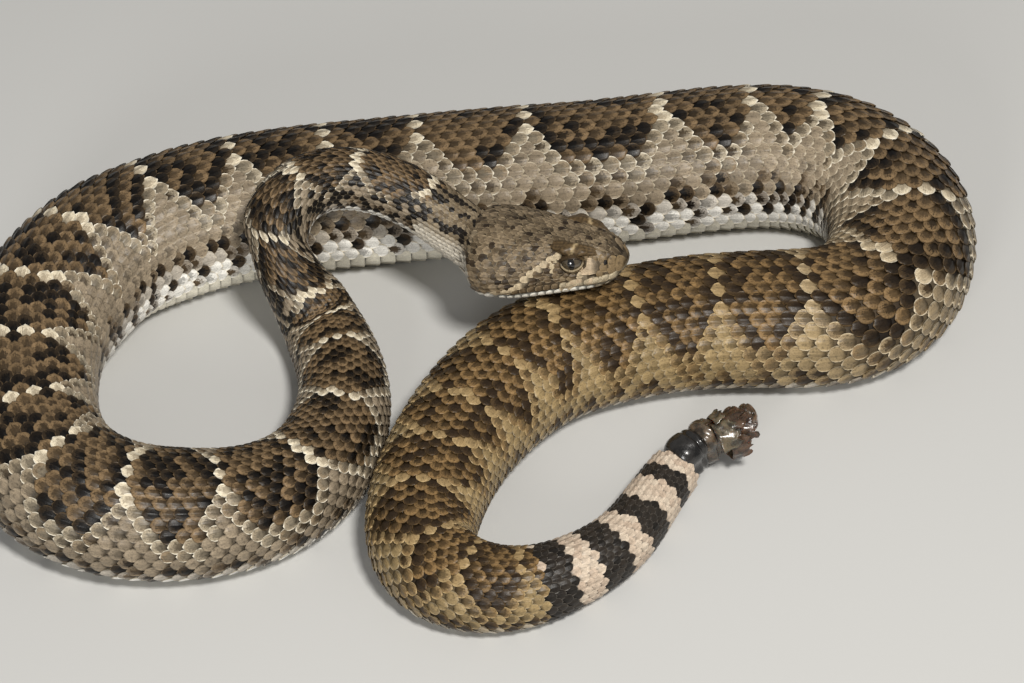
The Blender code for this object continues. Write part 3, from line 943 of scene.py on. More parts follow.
def scale_tree():
    """Geometry nodes that put one scale at each point and make them one mesh."""
    known = bpy.data.node_groups.get("lay_scales")
    if known:
        return known
    tree = bpy.data.node_groups.new("lay_scales", "GeometryNodeTree")
    sockets = [("Geometry", "Geometry"), ("Scale shape", "Object"), ("Finish", "Material")]
    sockets += [(name, "Float") for name in ("Length", "Width", "Thickness", "Unevenness")]
    for name, kind in sockets:
        tree.interface.new_socket(name, in_out="INPUT", socket_type="NodeSocket" + kind)
    tree.interface.new_socket("Geometry", in_out="OUTPUT", socket_type="NodeSocketGeometry")
    nodes, link = tree.nodes, tree.links.new
    given = nodes.new("NodeGroupInput").outputs
    shape = nodes.new("GeometryNodeObjectInfo")
    link(given["Scale shape"], shape.inputs["Object"])
    size = nodes.new("GeometryNodeInputNamedAttribute")
    size.data_type = "FLOAT_VECTOR"
    size.inputs["Name"].default_value = "size"
    share = nodes.new("ShaderNodeCombineXYZ")
    for socket, name in zip(share.inputs, ("Length", "Width", "Thickness")):
        link(given[name], socket)
    chance = nodes.new("FunctionNodeRandomValue")
    chance.data_type = "FLOAT"
    next(socket for socket in chance.inputs if socket.name == "Seed").default_value = 7
    bounds = [socket for socket in chance.inputs if socket.type == "VALUE"]
    for operation, socket in zip(("SUBTRACT", "ADD"), bounds):
        bound = nodes.new("ShaderNodeMath")
        bound.operation = operation
        bound.inputs[0].default_value = 1.0
        link(given["Unevenness"], bound.inputs[1])
        link(bound.outputs[0], socket)
    sized = nodes.new("ShaderNodeVectorMath")
    sized.operation = "MULTIPLY"
    link(size.outputs["Attribute"], sized.inputs[0])
    link(share.outputs[0], sized.inputs[1])
    uneven = nodes.new("ShaderNodeVectorMath")
    uneven.operation = "SCALE"
    link(sized.outputs[0], uneven.inputs[0])
    link(next(socket for socket in chance.outputs if socket.type == "VALUE"), uneven.inputs["Scale"])
    lay = nodes.new("GeometryNodeInstanceOnPoints")
    link(given["Geometry"], lay.inputs["Points"])
    link(shape.outputs["Geometry"], lay.inputs["Instance"])
    link(uneven.outputs[0], lay.inputs["Scale"])
    made = nodes.new("GeometryNodeRealizeInstances")
    link(lay.outputs[0], made.inputs[0])
    coated = nodes.new("GeometryNodeSetMaterial")
    link(made.outputs[0], coated.inputs["Geometry"])
    link(given["Finish"], coated.inputs["Material"])
    link(coated.outputs[0], nodes.new("NodeGroupOutput").inputs[0])
    return tree


FLAT = 100.0


def even_amounts(unevenness):
    return {"Length": 1, "Width": 1, "Thickness": 1, "Unevenness": unevenness}


def lay_scales(surface, name, shape, rows, tones, amounts):
    """Lays scales out flat with geometry nodes, then wraps the flat sheet round the animal."""
    along, across, length, width, thick, seeds = rows
    count = len(along)
    points = mesh_from(name + "_points", np.stack([along, across * FLAT, np.zeros(count)], axis=1), [])
    set_vector(points, "size", np.stack([length, width * FLAT, thick], axis=1))
    set_vector(points, "root", np.stack([along, across, np.zeros(count)], axis=1))
    for kind, values in zip(("inner", "tone", "rim"), tones):
        set_colour(points, kind, values)
    set_number(points, "seed", seeds)
    sheet = in_scene(name + "_points", points)
    modifier = sheet.modifiers.new("lay_scales", "NODES")
    modifier.node_group = scale_tree()
    sockets = modifier.node_group.interface.items_tree
    inputs = {item.name: item.identifier for item in sockets if item.in_out == "INPUT"}
    modifier[inputs["Scale shape"]] = shape
    modifier[inputs["Finish"]] = scale_finish()
    for label, value in amounts.items():
        modifier[inputs[label]] = float(value)
    graph = bpy.context.evaluated_depsgraph_get()
    mesh = bpy.data.meshes.new_from_object(sheet.evaluated_get(graph))
    sheet.modifiers.remove(modifier)
    bpy.data.objects.remove(sheet, do_unlink=True)
    bpy.data.objects.remove(shape, do_unlink=True)
    bpy.data.meshes.remove(points)
    flat = read_rows(mesh.vertices, "co").astype(float)
    wrapped = surface.place(flat[:, 0], flat[:, 1] / FLAT, flat[:, 2]) * MM
    mesh.vertices.foreach_set("co", wrapped.astype(np.float32).ravel())
    roots = read_rows(mesh.attributes["root"].data, "vector")
    places = read_rows(mesh.attributes["place"].data, "vector")
    u, v = bake_map(surface, roots[:, 0], (roots[:, 1] + 1) % 2 - 1)
    set_bake_map(mesh, u + 0.0015 * (places[:, 0] * 2 - 1), v + 0.0015 * places[:, 1])
    for unused in ("size", "root"):
        mesh.attributes.remove(mesh.attributes[unused])
    mesh.name = name
    mesh.update()
    return mesh


def build_skin(surface):
    """One closed skin from the snout to the end of the tail, under the scales."""
    count = len(surface.along)
    on_head = int(np.searchsorted(surface.along, HEAD_LENGTH))
    picked = np.concatenate(
        [np.arange(on_head), np.unique(np.linspace(on_head, count - 1, 330).round().astype(int))]
    )
    along = surface.along[picked]
    depth = np.interp(along, SKIN_DEPTH_AT, SKIN_DEPTH)[:, None, None]
    grid = (surface.points[picked] - surface.normals[picked] * depth)[:, :-1]
    grid[..., 2] = np.maximum(grid[..., 2], 0.05)
    rows, columns = grid.shape[:2]
    points = grid.reshape(-1, 3)
    index = np.arange(rows * columns).reshape(rows, columns)
    beside = np.roll(index, -1, axis=1)
    ends = [grid[0].mean(axis=0) + head_frame()[1] * 0.1, grid[-1].mean(axis=0)]
    points = np.vstack([points, ends]) * MM
    faces = ring_quads(index).tolist()
    faces += [[rows * columns, int(a), int(b)] for a, b in zip(index[0], beside[0])]
    faces += [[rows * columns + 1, int(b), int(a)] for a, b in zip(index[-1], beside[-1])]
    mesh = mesh_from("skin", points, faces)
    spread = np.linspace(-1, 1, ACROSS)[:-1]
    far, wide = np.meshgrid(along, spread, indexing="ij")
    far = np.append(far.ravel(), along[[0, -1]])
    wide = np.append(wide.ravel(), (0.0, 0.0))
    own = (wide - np.interp(far, ROLL_AT, ROLL) / 180 + 1) % 2 - 1
    chance = np.full((len(far), 3), 0.5)
    inner, tone, _ = colours(surface, far, own, chance)
    set_colour(mesh, "tone", np.clip(mix(inner, tone, 0.5) * 0.42, 0, 1))
    u, v = bake_map(surface, far, own)
    set_bake_map(mesh, u, v)
    return finished("skin", mesh, skin_finish(), FLESH)


def lattice(start, end, reach):
    """Places of the scales in rows that run along the body, every other one half a scale behind."""
    columns, numbers = column_places(start, end)
    places = []
    for number, where in zip(numbers, columns):
        width = row_width(where)
        most = int(reach / width)
        for row in range(-most, most + 1):
            if (row + number) % 2 == 0:
                places.append((where, row * width))
    return np.array(places).T


def sized(surface, along, across, long, wide, thick):
    """Length, width and thickness of scales, shorter where the body's inner bend crowds them."""
    stretch = surface.read(surface.stretch, along, across)
    length = pitch(along) * long / np.maximum(stretch, 0.62) * np.clip(stretch, 0.62, 1.15) ** 0.3
    width = row_width(along) * wide
    depth = np.interp(along, SKIN_DEPTH_AT, SKIN_DEPTH)
    return length, width, depth * thick


def draw(count, seed):
    return np.random.default_rng(seed).random((count, 3))


def build_back(surface, settings, name, start, end, seed, on_flank):
    """The scales of one stretch: keeled on the back, nearly smooth on the flanks."""
    along, across = lattice(start, end, BACK_REACH)
    flank = np.abs(across) > FLANK_FROM
    kept = flank == on_flank
    chance = draw(len(along), seed)[kept]
    along, across = along[kept], across[kept]
    along = along + (chance[:, 0] - 0.5) * 0.16 * pitch(along)
    length, width, thick = sized(surface, along, across, 1.42, 1.5, 1.24)
    tones = colours(surface, along, across, chance)
    shape = keeled_shape(0.05 if on_flank else 0.22)
    amounts = {
        "Length": settings.scale_length,
        "Width": settings.scale_width,
        "Thickness": settings.scale_thickness,
        "Unevenness": settings.unevenness,
    }
    rows = (along, across, length, width, thick, chance[:, 1])
    return lay_scales(surface, name, shape, rows, tones, amounts)


def build_belly(surface):
    """One broad plate after another along the belly."""
    columns, numbers = column_places(BELLY_PLATES_FROM, surface.length)
    along = columns[numbers % 2 == 0]
    across = np.ones(len(along))
    chance = draw(len(along), 31)
    depth = np.interp(along, SKIN_DEPTH_AT, SKIN_DEPTH)
    length = pitch(along) * 1.35
    width = np.full(len(along), 2 * (1 - BACK_SHARE) + 0.03)
    tones = colours(surface, along, across, chance)
    rows = (along, across, length, width, depth * 1.1, chance[:, 1])
    return lay_scales(surface, "belly_plates", belly_shape(), rows, tones, even_amounts(0))


def on_plates(surface, along, across):
    """Whether a place on the head belongs to the eye, a stripe, the lips or a big plate."""
    degrees = surface.read(surface.angles, along, across)
    back, out, height = surface.in_head_terms(surface.place(along, across, np.zeros(len(along))))
    sided = np.abs(out)
    from_eye = eye_distance(back, out, height)
    taken = from_eye < 3.9
    taken |= ((along - 10.7) / 6.3) ** 2 + ((degrees - 33.5 - (10.8 - along) * 0.95) / 15.0) ** 2 < 1
    taken |= (np.abs(degrees - np.interp(along, *REAR_STRIPE)) < 4.4) & (along > 13.2) & (along < 31.5)
    taken |= (np.abs(degrees - np.interp(along, *FRONT_STRIPE)) < 5.5) & (along > 8.0) & (along < 15.5)
    over_mouth = height - np.interp(back, MOUTH_BACK, MOUTH_HEIGHT)
    taken |= (over_mouth > -3.0) & (over_mouth < 2.7) & (degrees > 70) & (back < 32) & (sided > 2.5)
    taken |= (along < 8.6) & (degrees > 46) & (over_mouth > -2.8)
    taken |= (along < 2.6) & (over_mouth > -2.8)
    return taken


def build_head_scales(surface):
    """Small scales of crown, cheeks and chin."""
    along, across = lattice(1.0, BELLY_PLATES_FROM, 1.0)
    beyond = (along > HEAD_LENGTH) & (np.abs(across) < BACK_SHARE + 0.03)
    keep = ~on_plates(surface, along, across) & ~beyond
    along, across = along[keep], across[keep]
    chance = draw(len(along), 11)
    along = along + (chance[:, 0] - 0.5) * 0.5 * pitch(along)
    across = across + (chance[:, 1] - 0.5) * 0.4 * row_width(along)
    length, width, thick = sized(surface, along, across, 1.4, 1.4, 1.35)
    tones = colours(surface, along, across, chance)
    rows = (along, across, length, width, thick, chance[:, 2])
    return lay_scales(surface, "head_scales", keeled_shape(), rows, tones, even_amounts(0.2))


OLIVE = linear(120, 102, 75)
PATCH = linear(186, 166, 138)
# Big plates of each side of the snout: distance behind it, angle from the top, length and width, tint. The
# last, small black one is laid over the nostril as painted shade of its opening.
FACE_PLATES = (
    (0.9, 16, 2.6, 2.2, None), (1.4, 38, 2.7, 2.5, None), (3.6, 20, 2.6, 2.2, None),
    (4.4, 42, 3.8, 2.5, None), (0.9, 62, 2.4, 3.0, OLIVE), (3.1, 58, 2.7, 2.5, OLIVE),
    (5.4, 57, 2.6, 2.0, OLIVE), (7.6, 57, 2.6, 1.8, OLIVE), (2.9, 80, 2.4, 2.5, OLIVE),
    (4.0, 89, 2.2, 2.2, OLIVE), (6.9, 78, 5.2, 4.7, PATCH), (4.3, 98, 2.4, 2.0, None),
    (9.4, 96, 2.2, 2.2, PATCH), (6.8, 101, 2.6, 2.0, PATCH), (-0.5, 52, 2.0, 2.8, OLIVE),
    (-0.4, 80, 2.0, 2.8, OLIVE), (1.1, 84, 2.4, 2.6, OLIVE), (2.8, 98, 2.4, 2.1, None),
    (1.0, 102, 2.3, 2.0, None), (10.9, 97, 2.4, 2.4, PATCH), (2.7, 68, 1.0, 1.5, JET),
)
LIP_PITCH = 2.05
LIP_PLATES = 15


def build_plates(surface):
    """Brow plates, lip plates, snout plates, a black one over each nostril as painted shade of its opening,
    and the ring of small scales round each eye.
    """
    rows, tints = [], []

    def put(back, degrees, length, width, tint=None):
        half = np.interp(back, surface.along, surface.halves)
        across = surface.across_at(back, degrees)
        for side in (1, -1):
            rows.append((back, side * across, length, width / half))
            tints.append(tint)

    for plate in FACE_PLATES:
        put(*plate)
    for back in np.arange(14.4, 31.6, 1.7):
        put(back, np.interp(back, *REAR_STRIPE), 2.6, 2.0, STRIPE * (1.0 + 0.08 * math.sin(7 * back)))
    for back in np.arange(10.4, 15.2, 1.6):
        put(back, np.interp(back, *FRONT_STRIPE), 2.5, 2.9, STRIPE)
    for number in range(LIP_PLATES):
        back = 1.2 + LIP_PITCH * number
        mouth = np.interp(back, MOUTH_BACK, MOUTH_HEIGHT)
        upper = surface.side_angle(back, mouth + 1.25)
        lower = surface.side_angle(back, mouth - 1.2)
        put(back, upper, LIP_PITCH * 1.06, 2.35)
        tint = WHITE if back > 6 else linear(176, 164, 142)
        put(back, lower, LIP_PITCH * 1.06, 2.6, tint)
    for number in range(13):
        turn = math.radians(-30 + number * 24)
        back = EYE_AT + 4.3 * math.cos(turn)
        height = EYE_HEIGHT - 0.2 - 3.5 * math.sin(turn)
        if height > 10.6 or back < 9.9:
            continue
        angle = surface.side_angle(back, height)
        behind = back > EYE_AT + 1.5 and height > EYE_HEIGHT - 1.4
        put(back, angle, 1.9, 1.5, linear(184, 168, 138) if behind else linear(128, 112, 87))
    along, across, length, width = np.array(rows).T
    chance = draw(len(along), 23)
    depth = np.interp(along, SKIN_DEPTH_AT, SKIN_DEPTH) * np.where(length > 4, 1.5, 1.1)
    tones = colours(surface, along, across, chance)
    for number, tint in enumerate(tints):
        if tint is not None:
            for layer, share in zip(tones, (0.9, 1.0, 1.3)):
                layer[number] = np.clip(tint * share, 0, 1)
    laid = (along, across, length, width, depth * 1.3, chance[:, 1])
    return lay_scales(surface, "face_plates", smooth_shape(), laid, tones, even_amounts(0.03))


def set_plate_look(mesh, tones, inner_share, seed):
    """What the scales' finish reads, for plates that aren't laid by geometry nodes."""
    for name, share in (("inner", inner_share), ("tone", 1.0), ("rim", 1.0)):
        set_colour(mesh, name, np.clip(tones * share, 0, 1))
    total = len(tones)
    set_vector(mesh, "place", np.tile((0.5, 0.0, 0.0), (total, 1)))
    set_number(mesh, "seed", np.full(total, seed))


def build_brows(surface):
    """The broad plate over each eye, with its pale bar across."""
    points, faces, tones = [], [], []
    columns, rows = 15, 27
    dark, bar = linear(78, 63, 42), linear(182, 160, 122)
    for side in (1, -1):
        base = len(points)
        grid = []
        for down in np.linspace(-1, 1, rows):
            for wide in np.linspace(-1, 1, columns):
                spread = math.sqrt(max(1 - abs(down) ** 2.6, 0.0))
                back = 10.7 + 6.6 * down
                degrees = 36 + (10.8 - back) * 0.95 + 18 * wide * spread
                across = side * surface.across_at(back, degrees)
                edge = max(abs(down) ** 3, abs(wide) ** 4)
                over_eye = 0.95 * math.exp(-(((back - 11.4) / 4.2) ** 2)) * step_up(-0.3, 0.8, wide)
                raised = (1.0 + over_eye) * (1 - edge) + (0.9 * over_eye - 0.25) * edge
                grid.append((back, across, raised))
                along_bar = abs(back - 10.9 - 1.2 * wide)
                streak = 0.5 + 0.5 * math.sin(8 * wide + 2.2 * back) * math.sin(3.1 * back - 5 * wide)
                colour = mix(dark * (0.6 + 1.3 * streak), bar, 0.85 * (1 - step_up(0.15, 0.6, along_bar)))
                tones.append(colour)
        grid = np.array(grid)
        points += (surface.place(grid[:, 0], grid[:, 1], grid[:, 2]) * MM).tolist()
        for row in range(rows - 1):
            for column in range(columns - 1):
                first = base + row * columns + column
                face = (first, first + 1, first + columns + 1, first + columns)
                faces.append(face[:: -side])
    mesh = mesh_from("brow_plates", points, faces)
    set_plate_look(mesh, np.array(tones), 0.9, 0.3)
    count = len(points)
    u, v = bake_map(surface, np.full(count, 10.7), np.repeat((0.25, -0.25), count // 2))
    set_bake_map(mesh, u, v)
    return mesh


def eye_frame(side):
    """Centre of an eye, and the directions to its front, top and gaze."""
    _, forward, left, up = head_frame()
    gaze = left * side * 0.92 + forward * 0.25 + up * 0.28
    gaze /= np.linalg.norm(gaze)
    top = up - gaze * (up @ gaze)
    top /= np.linalg.norm(top)
    front = forward - gaze * (forward @ gaze) - top * (forward @ top)
    front /= np.linalg.norm(front)
    return in_head(EYE_AT, side * EYE_OUT, EYE_HEIGHT)[0], front, top, gaze


# Opening between the lids, in degrees from the middle of the gaze
LIDS_OPEN_ALONG = 60.0
LIDS_OPEN_UP = 23.0
LIDS_OPEN_DOWN = 34.0
LID_POINTS = 64
# Steps of the lid outwards: angle past the opening, and distance over the eyeball
LID_STEPS = (
    (0.0, -0.04), (0.6, 0.2), (3.0, 0.36), (7.0, 0.3), (12.0, 0.16), (22.0, 0.14), (34.0, 0.12), (48.0, 0.0),
)


def build_lids(surface):
    """Lids that leave an almond opening over each eyeball, with a pale rim below."""
    points, faces, tones = [], [], []
    turns = np.arange(LID_POINTS) * 2 * math.pi / LID_POINTS
    open_up = np.where(np.sin(turns) > 0, LIDS_OPEN_UP, LIDS_OPEN_DOWN)
    opening = (np.abs(np.cos(turns)) / LIDS_OPEN_ALONG) ** 1.8 + (np.abs(np.sin(turns)) / open_up) ** 1.8
    opening = opening ** (-1 / 1.8)
    rim_tone = mix(linear(140, 126, 100), linear(44, 35, 25), step_up(-0.35, 0.2, np.sin(turns)))
    lid_tone = mix(linear(126, 109, 82), linear(66, 53, 36), step_up(-0.2, 0.5, np.sin(turns)))
    for side in (1, -1):
        centre, front, top, gaze = eye_frame(side)
        base = len(points)
        for number, (wider, lift) in enumerate(LID_STEPS):
            angle = np.radians(opening + wider)
            wrinkle = 0.04 * np.sin(turns * 22) * min(number / 4, 1)
            reach = (EYE_RADIUS + lift + wrinkle)[:, None]
            around = np.outer(np.cos(turns), front) + np.outer(np.sin(turns), top)
            ring = np.cos(angle)[:, None] * gaze + np.sin(angle)[:, None] * around
            points += ((centre + reach * ring) * MM).tolist()
            share = np.clip((number - 1) / 3, 0, 1)
            tones.append(mix(rim_tone, lid_tone, share) * (1 + 0.12 * np.sin(turns * 22))[:, None])
        index = base + np.arange(len(LID_STEPS) * LID_POINTS).reshape(-1, LID_POINTS)
        faces += ring_quads(index)[:, ::side].tolist()
    mesh = mesh_from("eyelids", points, faces)
    set_plate_look(mesh, np.concatenate(tones), 1.0, 0.6)
    total = len(points)
    across = surface.across_at(EYE_AT, 69.5)
    u, v = bake_map(surface, np.full(total, EYE_AT), np.repeat((across, -across), total // 2))
    set_bake_map(mesh, u, v)
    return mesh


def eye_finish():
    """Glossy eye: bronze-grey iris with an upright slit pupil."""
    shader = Shader("eye_finish")
    front, up, _ = shader.split(shader.attribute("gaze"))
    reach = shader.math(
        "SQRT",
        shader.math("ADD", shader.math("MULTIPLY", front, front), shader.math("MULTIPLY", up, up)),
    )
    vein = shader.noise(2600.0, 4.0)
    iris = shader.blend(vein, (*linear(30, 26, 20), 1.0), (*linear(94, 83, 64), 1.0))
    iris = shader.blend(shader.ramp(reach, 0.55, 0.86), iris, (*linear(26, 22, 17), 1.0))
    taper = shader.math("DIVIDE", up, 0.66)
    slit = shader.math("SUBTRACT", 1.0, shader.math("MULTIPLY", taper, taper))
    slit = shader.math("MULTIPLY", shader.math("MAXIMUM", slit, 0.0), 0.3)
    outside = shader.math("SUBTRACT", shader.math("ABSOLUTE", front), slit)
    colour = shader.blend(shader.ramp(outside, -0.01, 0.02), (0.002, 0.002, 0.002, 1.0), iris)
    shader.put(shader.surface.inputs["Base Color"], colour)
    shader.look({"Roughness": 0.12, "Coat Weight": 1.0, "Coat Roughness": 0.03})
    return shader.finish


def build_eye(side, finish):
    """One eyeball, its pupil looking out and a little forward and up."""
    centre, _, top, gaze = eye_frame(side)
    front = np.cross(top, gaze)
    made = bmesh.new()
    bmesh.ops.create_uvsphere(made, u_segments=40, v_segments=28, radius=1.0)
    mesh = bpy.data.meshes.new("eye")
    made.to_mesh(mesh)
    made.free()
    local = np.array([vertex.co[:] for vertex in mesh.vertices])
    frame_rows = np.stack([front, top, gaze])
    placed = centre + EYE_RADIUS * 0.98 * local @ frame_rows
    mesh.vertices.foreach_set("co", (placed * MM).astype(np.float32).ravel())
    set_vector(mesh, "gaze", local)
    mesh.update()
    name = "left" if side > 0 else "right"
    return finished(f"eyeball_{name}", mesh, finish, [f"eye_{name}"])


# Rattle segments as the frame has them: name, length, width, height, turn to the right in degrees
RATTLE = (
    ("rattle_base", 7.0, 10.4, 12.6, 15),
    ("rattle_2", 4.6, 9.8, 12.0, 8),
    ("rattle_3", 3.9, 8.8, 10.8, 4),
    ("rattle_4", 3.5, 7.8, 9.6, 3),
    ("rattle_5", 2.9, 6.2, 7.6, 2),
)
RATTLE_PITCH = math.radians(6)
RATTLE_STEP_ROOM = 0.65
RATTLE_BASE_STEP = 1.5
RATTLE_CLEAR_OF_FLOOR = 0.6
RATTLE_POINTS = 56
RATTLE_TINTS = (
    linear(20, 18, 16), linear(74, 62, 48), linear(78, 58, 42), linear(70, 52, 38), linear(84, 66, 48),
)


def horn_finish(number, tint, own_tint=False):
    """Worn horn; all of it but the base lets a little light through."""
    shader = Shader(f"horn_{number}")
    cloud = shader.noise(420.0, 4.0)
    fine = shader.noise(2400.0, 3.0)
    light = tuple(np.clip(tint * 1.6 + 0.005, 0, 1))
    dark = tuple(tint * 0.35)
    colour = shader.blend(shader.ramp(cloud, 0.35, 0.65), (*dark, 1.0), (*light, 1.0))
    if own_tint:
        colour = shader.blend(1.0, colour, shader.attribute("tone", "Color"), "MULTIPLY")
    shader.put(shader.surface.inputs["Base Color"], colour)
    shader.put(shader.surface.inputs["Roughness"], shader.ramp(fine, 0.2, 0.8, 0.16, 0.4))
    if number:
        shader.look({"Subsurface Weight": 0.1, "Subsurface Scale": 0.0015})
    shader.look({"Coat Weight": 0.5, "Coat Roughness": 0.12})
    shader.bump(shader.math("ADD", cloud, shader.math("MULTIPLY", fine, 0.3)), 0.35, 0.0004)
    return shader.finish


HORN_GREY = linear(104, 96, 80)
HORN_BROWN = linear(84, 66, 52)
# Torn flakes of old horn: distance along the rattle, turn round it, turn spanned, length, distance from
# its middle, tint
FLAKES = (
    (7.5, 205, 110, 10.5, 6.4, HORN_GREY), (10.0, 60, 80, 6.5, 6.2, HORN_GREY),
    (9.0, 150, 90, 7.0, 6.3, HORN_BROWN), (12.5, 15, 70, 6.0, 5.8, HORN_BROWN),
    (13.0, 100, 90, 6.0, 5.7, HORN_BROWN), (14.0, 185, 110, 6.5, 5.9, HORN_BROWN),
    (13.5, 255, 90, 6.0, 5.4, HORN_GREY), (16.5, 60, 90, 5.0, 5.0, HORN_BROWN),
    (17.5, 145, 90, 4.5, 5.1, HORN_BROWN), (17.0, 225, 100, 5.0, 4.9, HORN_BROWN),
    (11.0, 115, 50, 3.5, 6.9, HORN_GREY),
)
FLAKE_THICKNESS = 0.22


def build_flakes(base, aim, left, up, finish):
    """Ragged pieces of shell that still cling to the rattle."""
    points, faces = [], []
    rows, columns = 9, 15
    for number, (start, turn, span, length, reach, _) in enumerate(FLAKES):
        grids = []
        for sink in (0.0, FLAKE_THICKNESS):
            for row in range(rows):
                for column in range(columns):
                    wide = 2 * column / (columns - 1) - 1
                    ragged = 1 - 0.24 * abs(math.sin(4.3 * wide + number))
                    ragged -= 0.1 * abs(math.sin(11 * wide + 2 * number))
                    down = row / (rows - 1)
                    narrowed = 1 - 0.3 * down * abs(math.sin(3 * number + 5 * down))
                    angle = math.radians(turn + span / 2 * wide * narrowed)
                    curl = reach + 0.9 * down**2 + 0.18 * math.sin(7 * wide + 5 * down + number) - sink
                    place = aim * (start + length * down * ragged)
                    grids.append(base + place + curl * (left * math.cos(angle) + up * math.sin(angle) * 1.12))
        first = len(points)
        points += grids
        index = first + np.arange(2 * rows * columns).reshape(2, rows, columns)
        for layer, turned in ((index[0], 1), (index[1], -1)):
            quads = np.stack([layer[:-1, :-1], layer[1:, :-1], layer[1:, 1:], layer[:-1, 1:]], axis=-1)
            faces += quads.reshape(-1, 4)[:, ::turned].tolist()
        rims = [
            np.concatenate([layer[0, :-1], layer[:-1, -1], layer[-1, :0:-1], layer[:0:-1, 0]])
            for layer in index
        ]
        faces += np.stack([rims[0], np.roll(rims[0], -1), np.roll(rims[1], -1), rims[1]], axis=-1).tolist()
    points = np.array(points)
    points[:, 2] = np.maximum(points[:, 2], 0.2)
    mesh = mesh_from("horn_flakes", points * MM, faces)
    set_colour(mesh, "tone", np.repeat([flake[-1] for flake in FLAKES], len(points) // len(FLAKES), axis=0))
    finished("horn_flakes", mesh, finish)


def build_rattle(surface):
    """Lobed shells of horn, each gripping the one before."""
    body = surface.body
    belly, tailward, _, _ = body.frame(body.length)
    yaw = math.atan2(tailward[1], tailward[0])
    base = belly + np.array((0, 0, RATTLE[0][3] / 2 + RATTLE_CLEAR_OF_FLOOR)) + tailward * RATTLE_BASE_STEP
    around = np.arange(RATTLE_POINTS) * 2 * math.pi / RATTLE_POINTS
    for number, (name, length, width, height, turn) in enumerate(RATTLE):
        if number == 1:
            flakes_from = base - aim * RATTLE[0][1]
        yaw -= math.radians(turn)
        flat = np.array((math.cos(yaw), math.sin(yaw), 0.0))
        aim = flat * math.cos(RATTLE_PITCH) + np.array((0, 0, math.sin(RATTLE_PITCH)))
        left = np.cross(flat, (0, 0, 1))
        up = np.cross(left, aim)
        shares = np.linspace(-0.2, 1.18, 26)
        points = []
        for share in shares:
            lobe = 1 - 0.55 * abs((share - 0.42) / 0.82) ** 3.4
            waist = 0.13 * math.exp(-(((share - 0.7) / 0.08) ** 2))
            wide = 1.05 * max(lobe - waist, 0.12)
            out = powered(np.cos(around), 2.4) * width / 2 * wide
            tall = powered(np.sin(around), 2.4) * height / 2 * wide
            groove = 1 - 0.16 * np.exp(-((np.sin(around) / 0.28) ** 2))
            rough = 0.03 if number else 0.008
            wobble = 1 + rough * (np.sin(3 * around + 5 * share + number) + np.sin(7 * around + 9 * share))
            centre = base + aim * length * share
            points.append(centre + np.outer(out * groove * wobble, left) + np.outer(tall * wobble, up))
        grid = np.array(points)
        index = np.arange(grid.shape[0] * RATTLE_POINTS).reshape(-1, RATTLE_POINTS)
        faces = ring_quads(index).tolist()
        faces.append(index[0].tolist())
        faces.append(index[-1][::-1].tolist())
        mesh = mesh_from(f"horn_{name}", grid.reshape(-1, 3) * MM, faces)
        finished(f"horn_{name}", mesh, horn_finish(number, RATTLE_TINTS[number]), [name])
        base = base + aim * (length + RATTLE_STEP_ROOM)
    build_flakes(flakes_from, aim, left, up, horn_finish(len(RATTLE), linear(205, 200, 190), True))


SHARED = {}


def the_surface():
    if "surface" not in SHARED:
        SHARED["surface"] = Surface()
    return SHARED["surface"]


def number(label, meaning, default, low, high):
    return FloatProperty(name=label, description=meaning, default=default, min=low, max=high)


class SnakeSettings(bpy.types.PropertyGroup):
    """Sizes that a maker would change."""

    scale_length: number("Scale length", "Length of the back's scales", 1.0, 0.5, 1.5)
    scale_width: number("Scale width", "Width of the back's scales", 1.0, 0.5, 1.5)
    scale_thickness: number("Scale thickness", "How far scales stand out", 1.0, 0.3, 2.0)
    unevenness: number("Unevenness", "Difference in size between neighbours", 0.05, 0, 0.3)


class StageSettings(bpy.types.PropertyGroup):
    """Floor, light and camera."""

    floor_colour: FloatVectorProperty(
        name="Floor", description="Colour of the floor", subtype="COLOR", default=(0.5, 0.5, 0.49)
    )
    light_power: FloatProperty(
        name="Light", description="Power of the main light", default=5.2, min=0, unit="POWER"
    )
    lens: number("Lens", "Focal length in millimetres", 120.0, 20, 300)


class SNAKE_OT_skin(bpy.types.Operator):
    """Make the skin"""

    bl_idname = "snake.skin"
    bl_label = "Skin"

    def execute(self, context):
        build_skin(the_surface())
        return {"FINISHED"}


STRETCHES = (
    ("neck", "neck", HEAD_LENGTH, 205, 1),
    ("fore_body", "trunk", 205, 400, 2),
    ("mid_body", "trunk", 400, 620, 3),
    ("rear_body", "trunk", 620, 790, 4),
    ("tail", "tail", 790, TAIL_END, 5),
)


class SNAKE_OT_back_scales(bpy.types.Operator):
    """Lay the keeled scales of the back and the sides"""

    bl_idname = "snake.back_scales"
    bl_label = "Back scales"

    def execute(self, context):
        for name, slot, start, end, seed in STRETCHES:
            for part, on_flank in (("back", False), ("flank", True)):
                title = f"{name}_{part}"
                mesh = build_back(the_surface(), context.scene.snake, title, start, end, seed, on_flank)
                finished(mesh.name, mesh, scale_finish())
        return {"FINISHED"}


class SNAKE_OT_belly_plates(bpy.types.Operator):
    """Lay the broad plates of the belly"""

    bl_idname = "snake.belly_plates"
    bl_label = "Belly plates"

    def execute(self, context):
        finished("belly_plates", build_belly(the_surface()), scale_finish())
        return {"FINISHED"}


class SNAKE_OT_head_scales(bpy.types.Operator):
    """Lay the small scales and the plates of the head"""

    bl_idname = "snake.head_scales"
    bl_label = "Head scales"

    def execute(self, context):
        surface = the_surface()
        finished("head_scales", build_head_scales(surface), scale_finish())
        finished("face_plates", build_plates(surface), scale_finish())
        finished("brow_plates", build_brows(surface), scale_finish())
        finished("eyelids", build_lids(surface), scale_finish())
        return {"FINISHED"}


class SNAKE_OT_eyes(bpy.types.Operator):
    """Make both eyes"""

    bl_idname = "snake.eyes"
    bl_label = "Eyes"

    def execute(self, context):
        finish = eye_finish()
        for side in (1, -1):
            build_eye(side, finish)
        return {"FINISHED"}


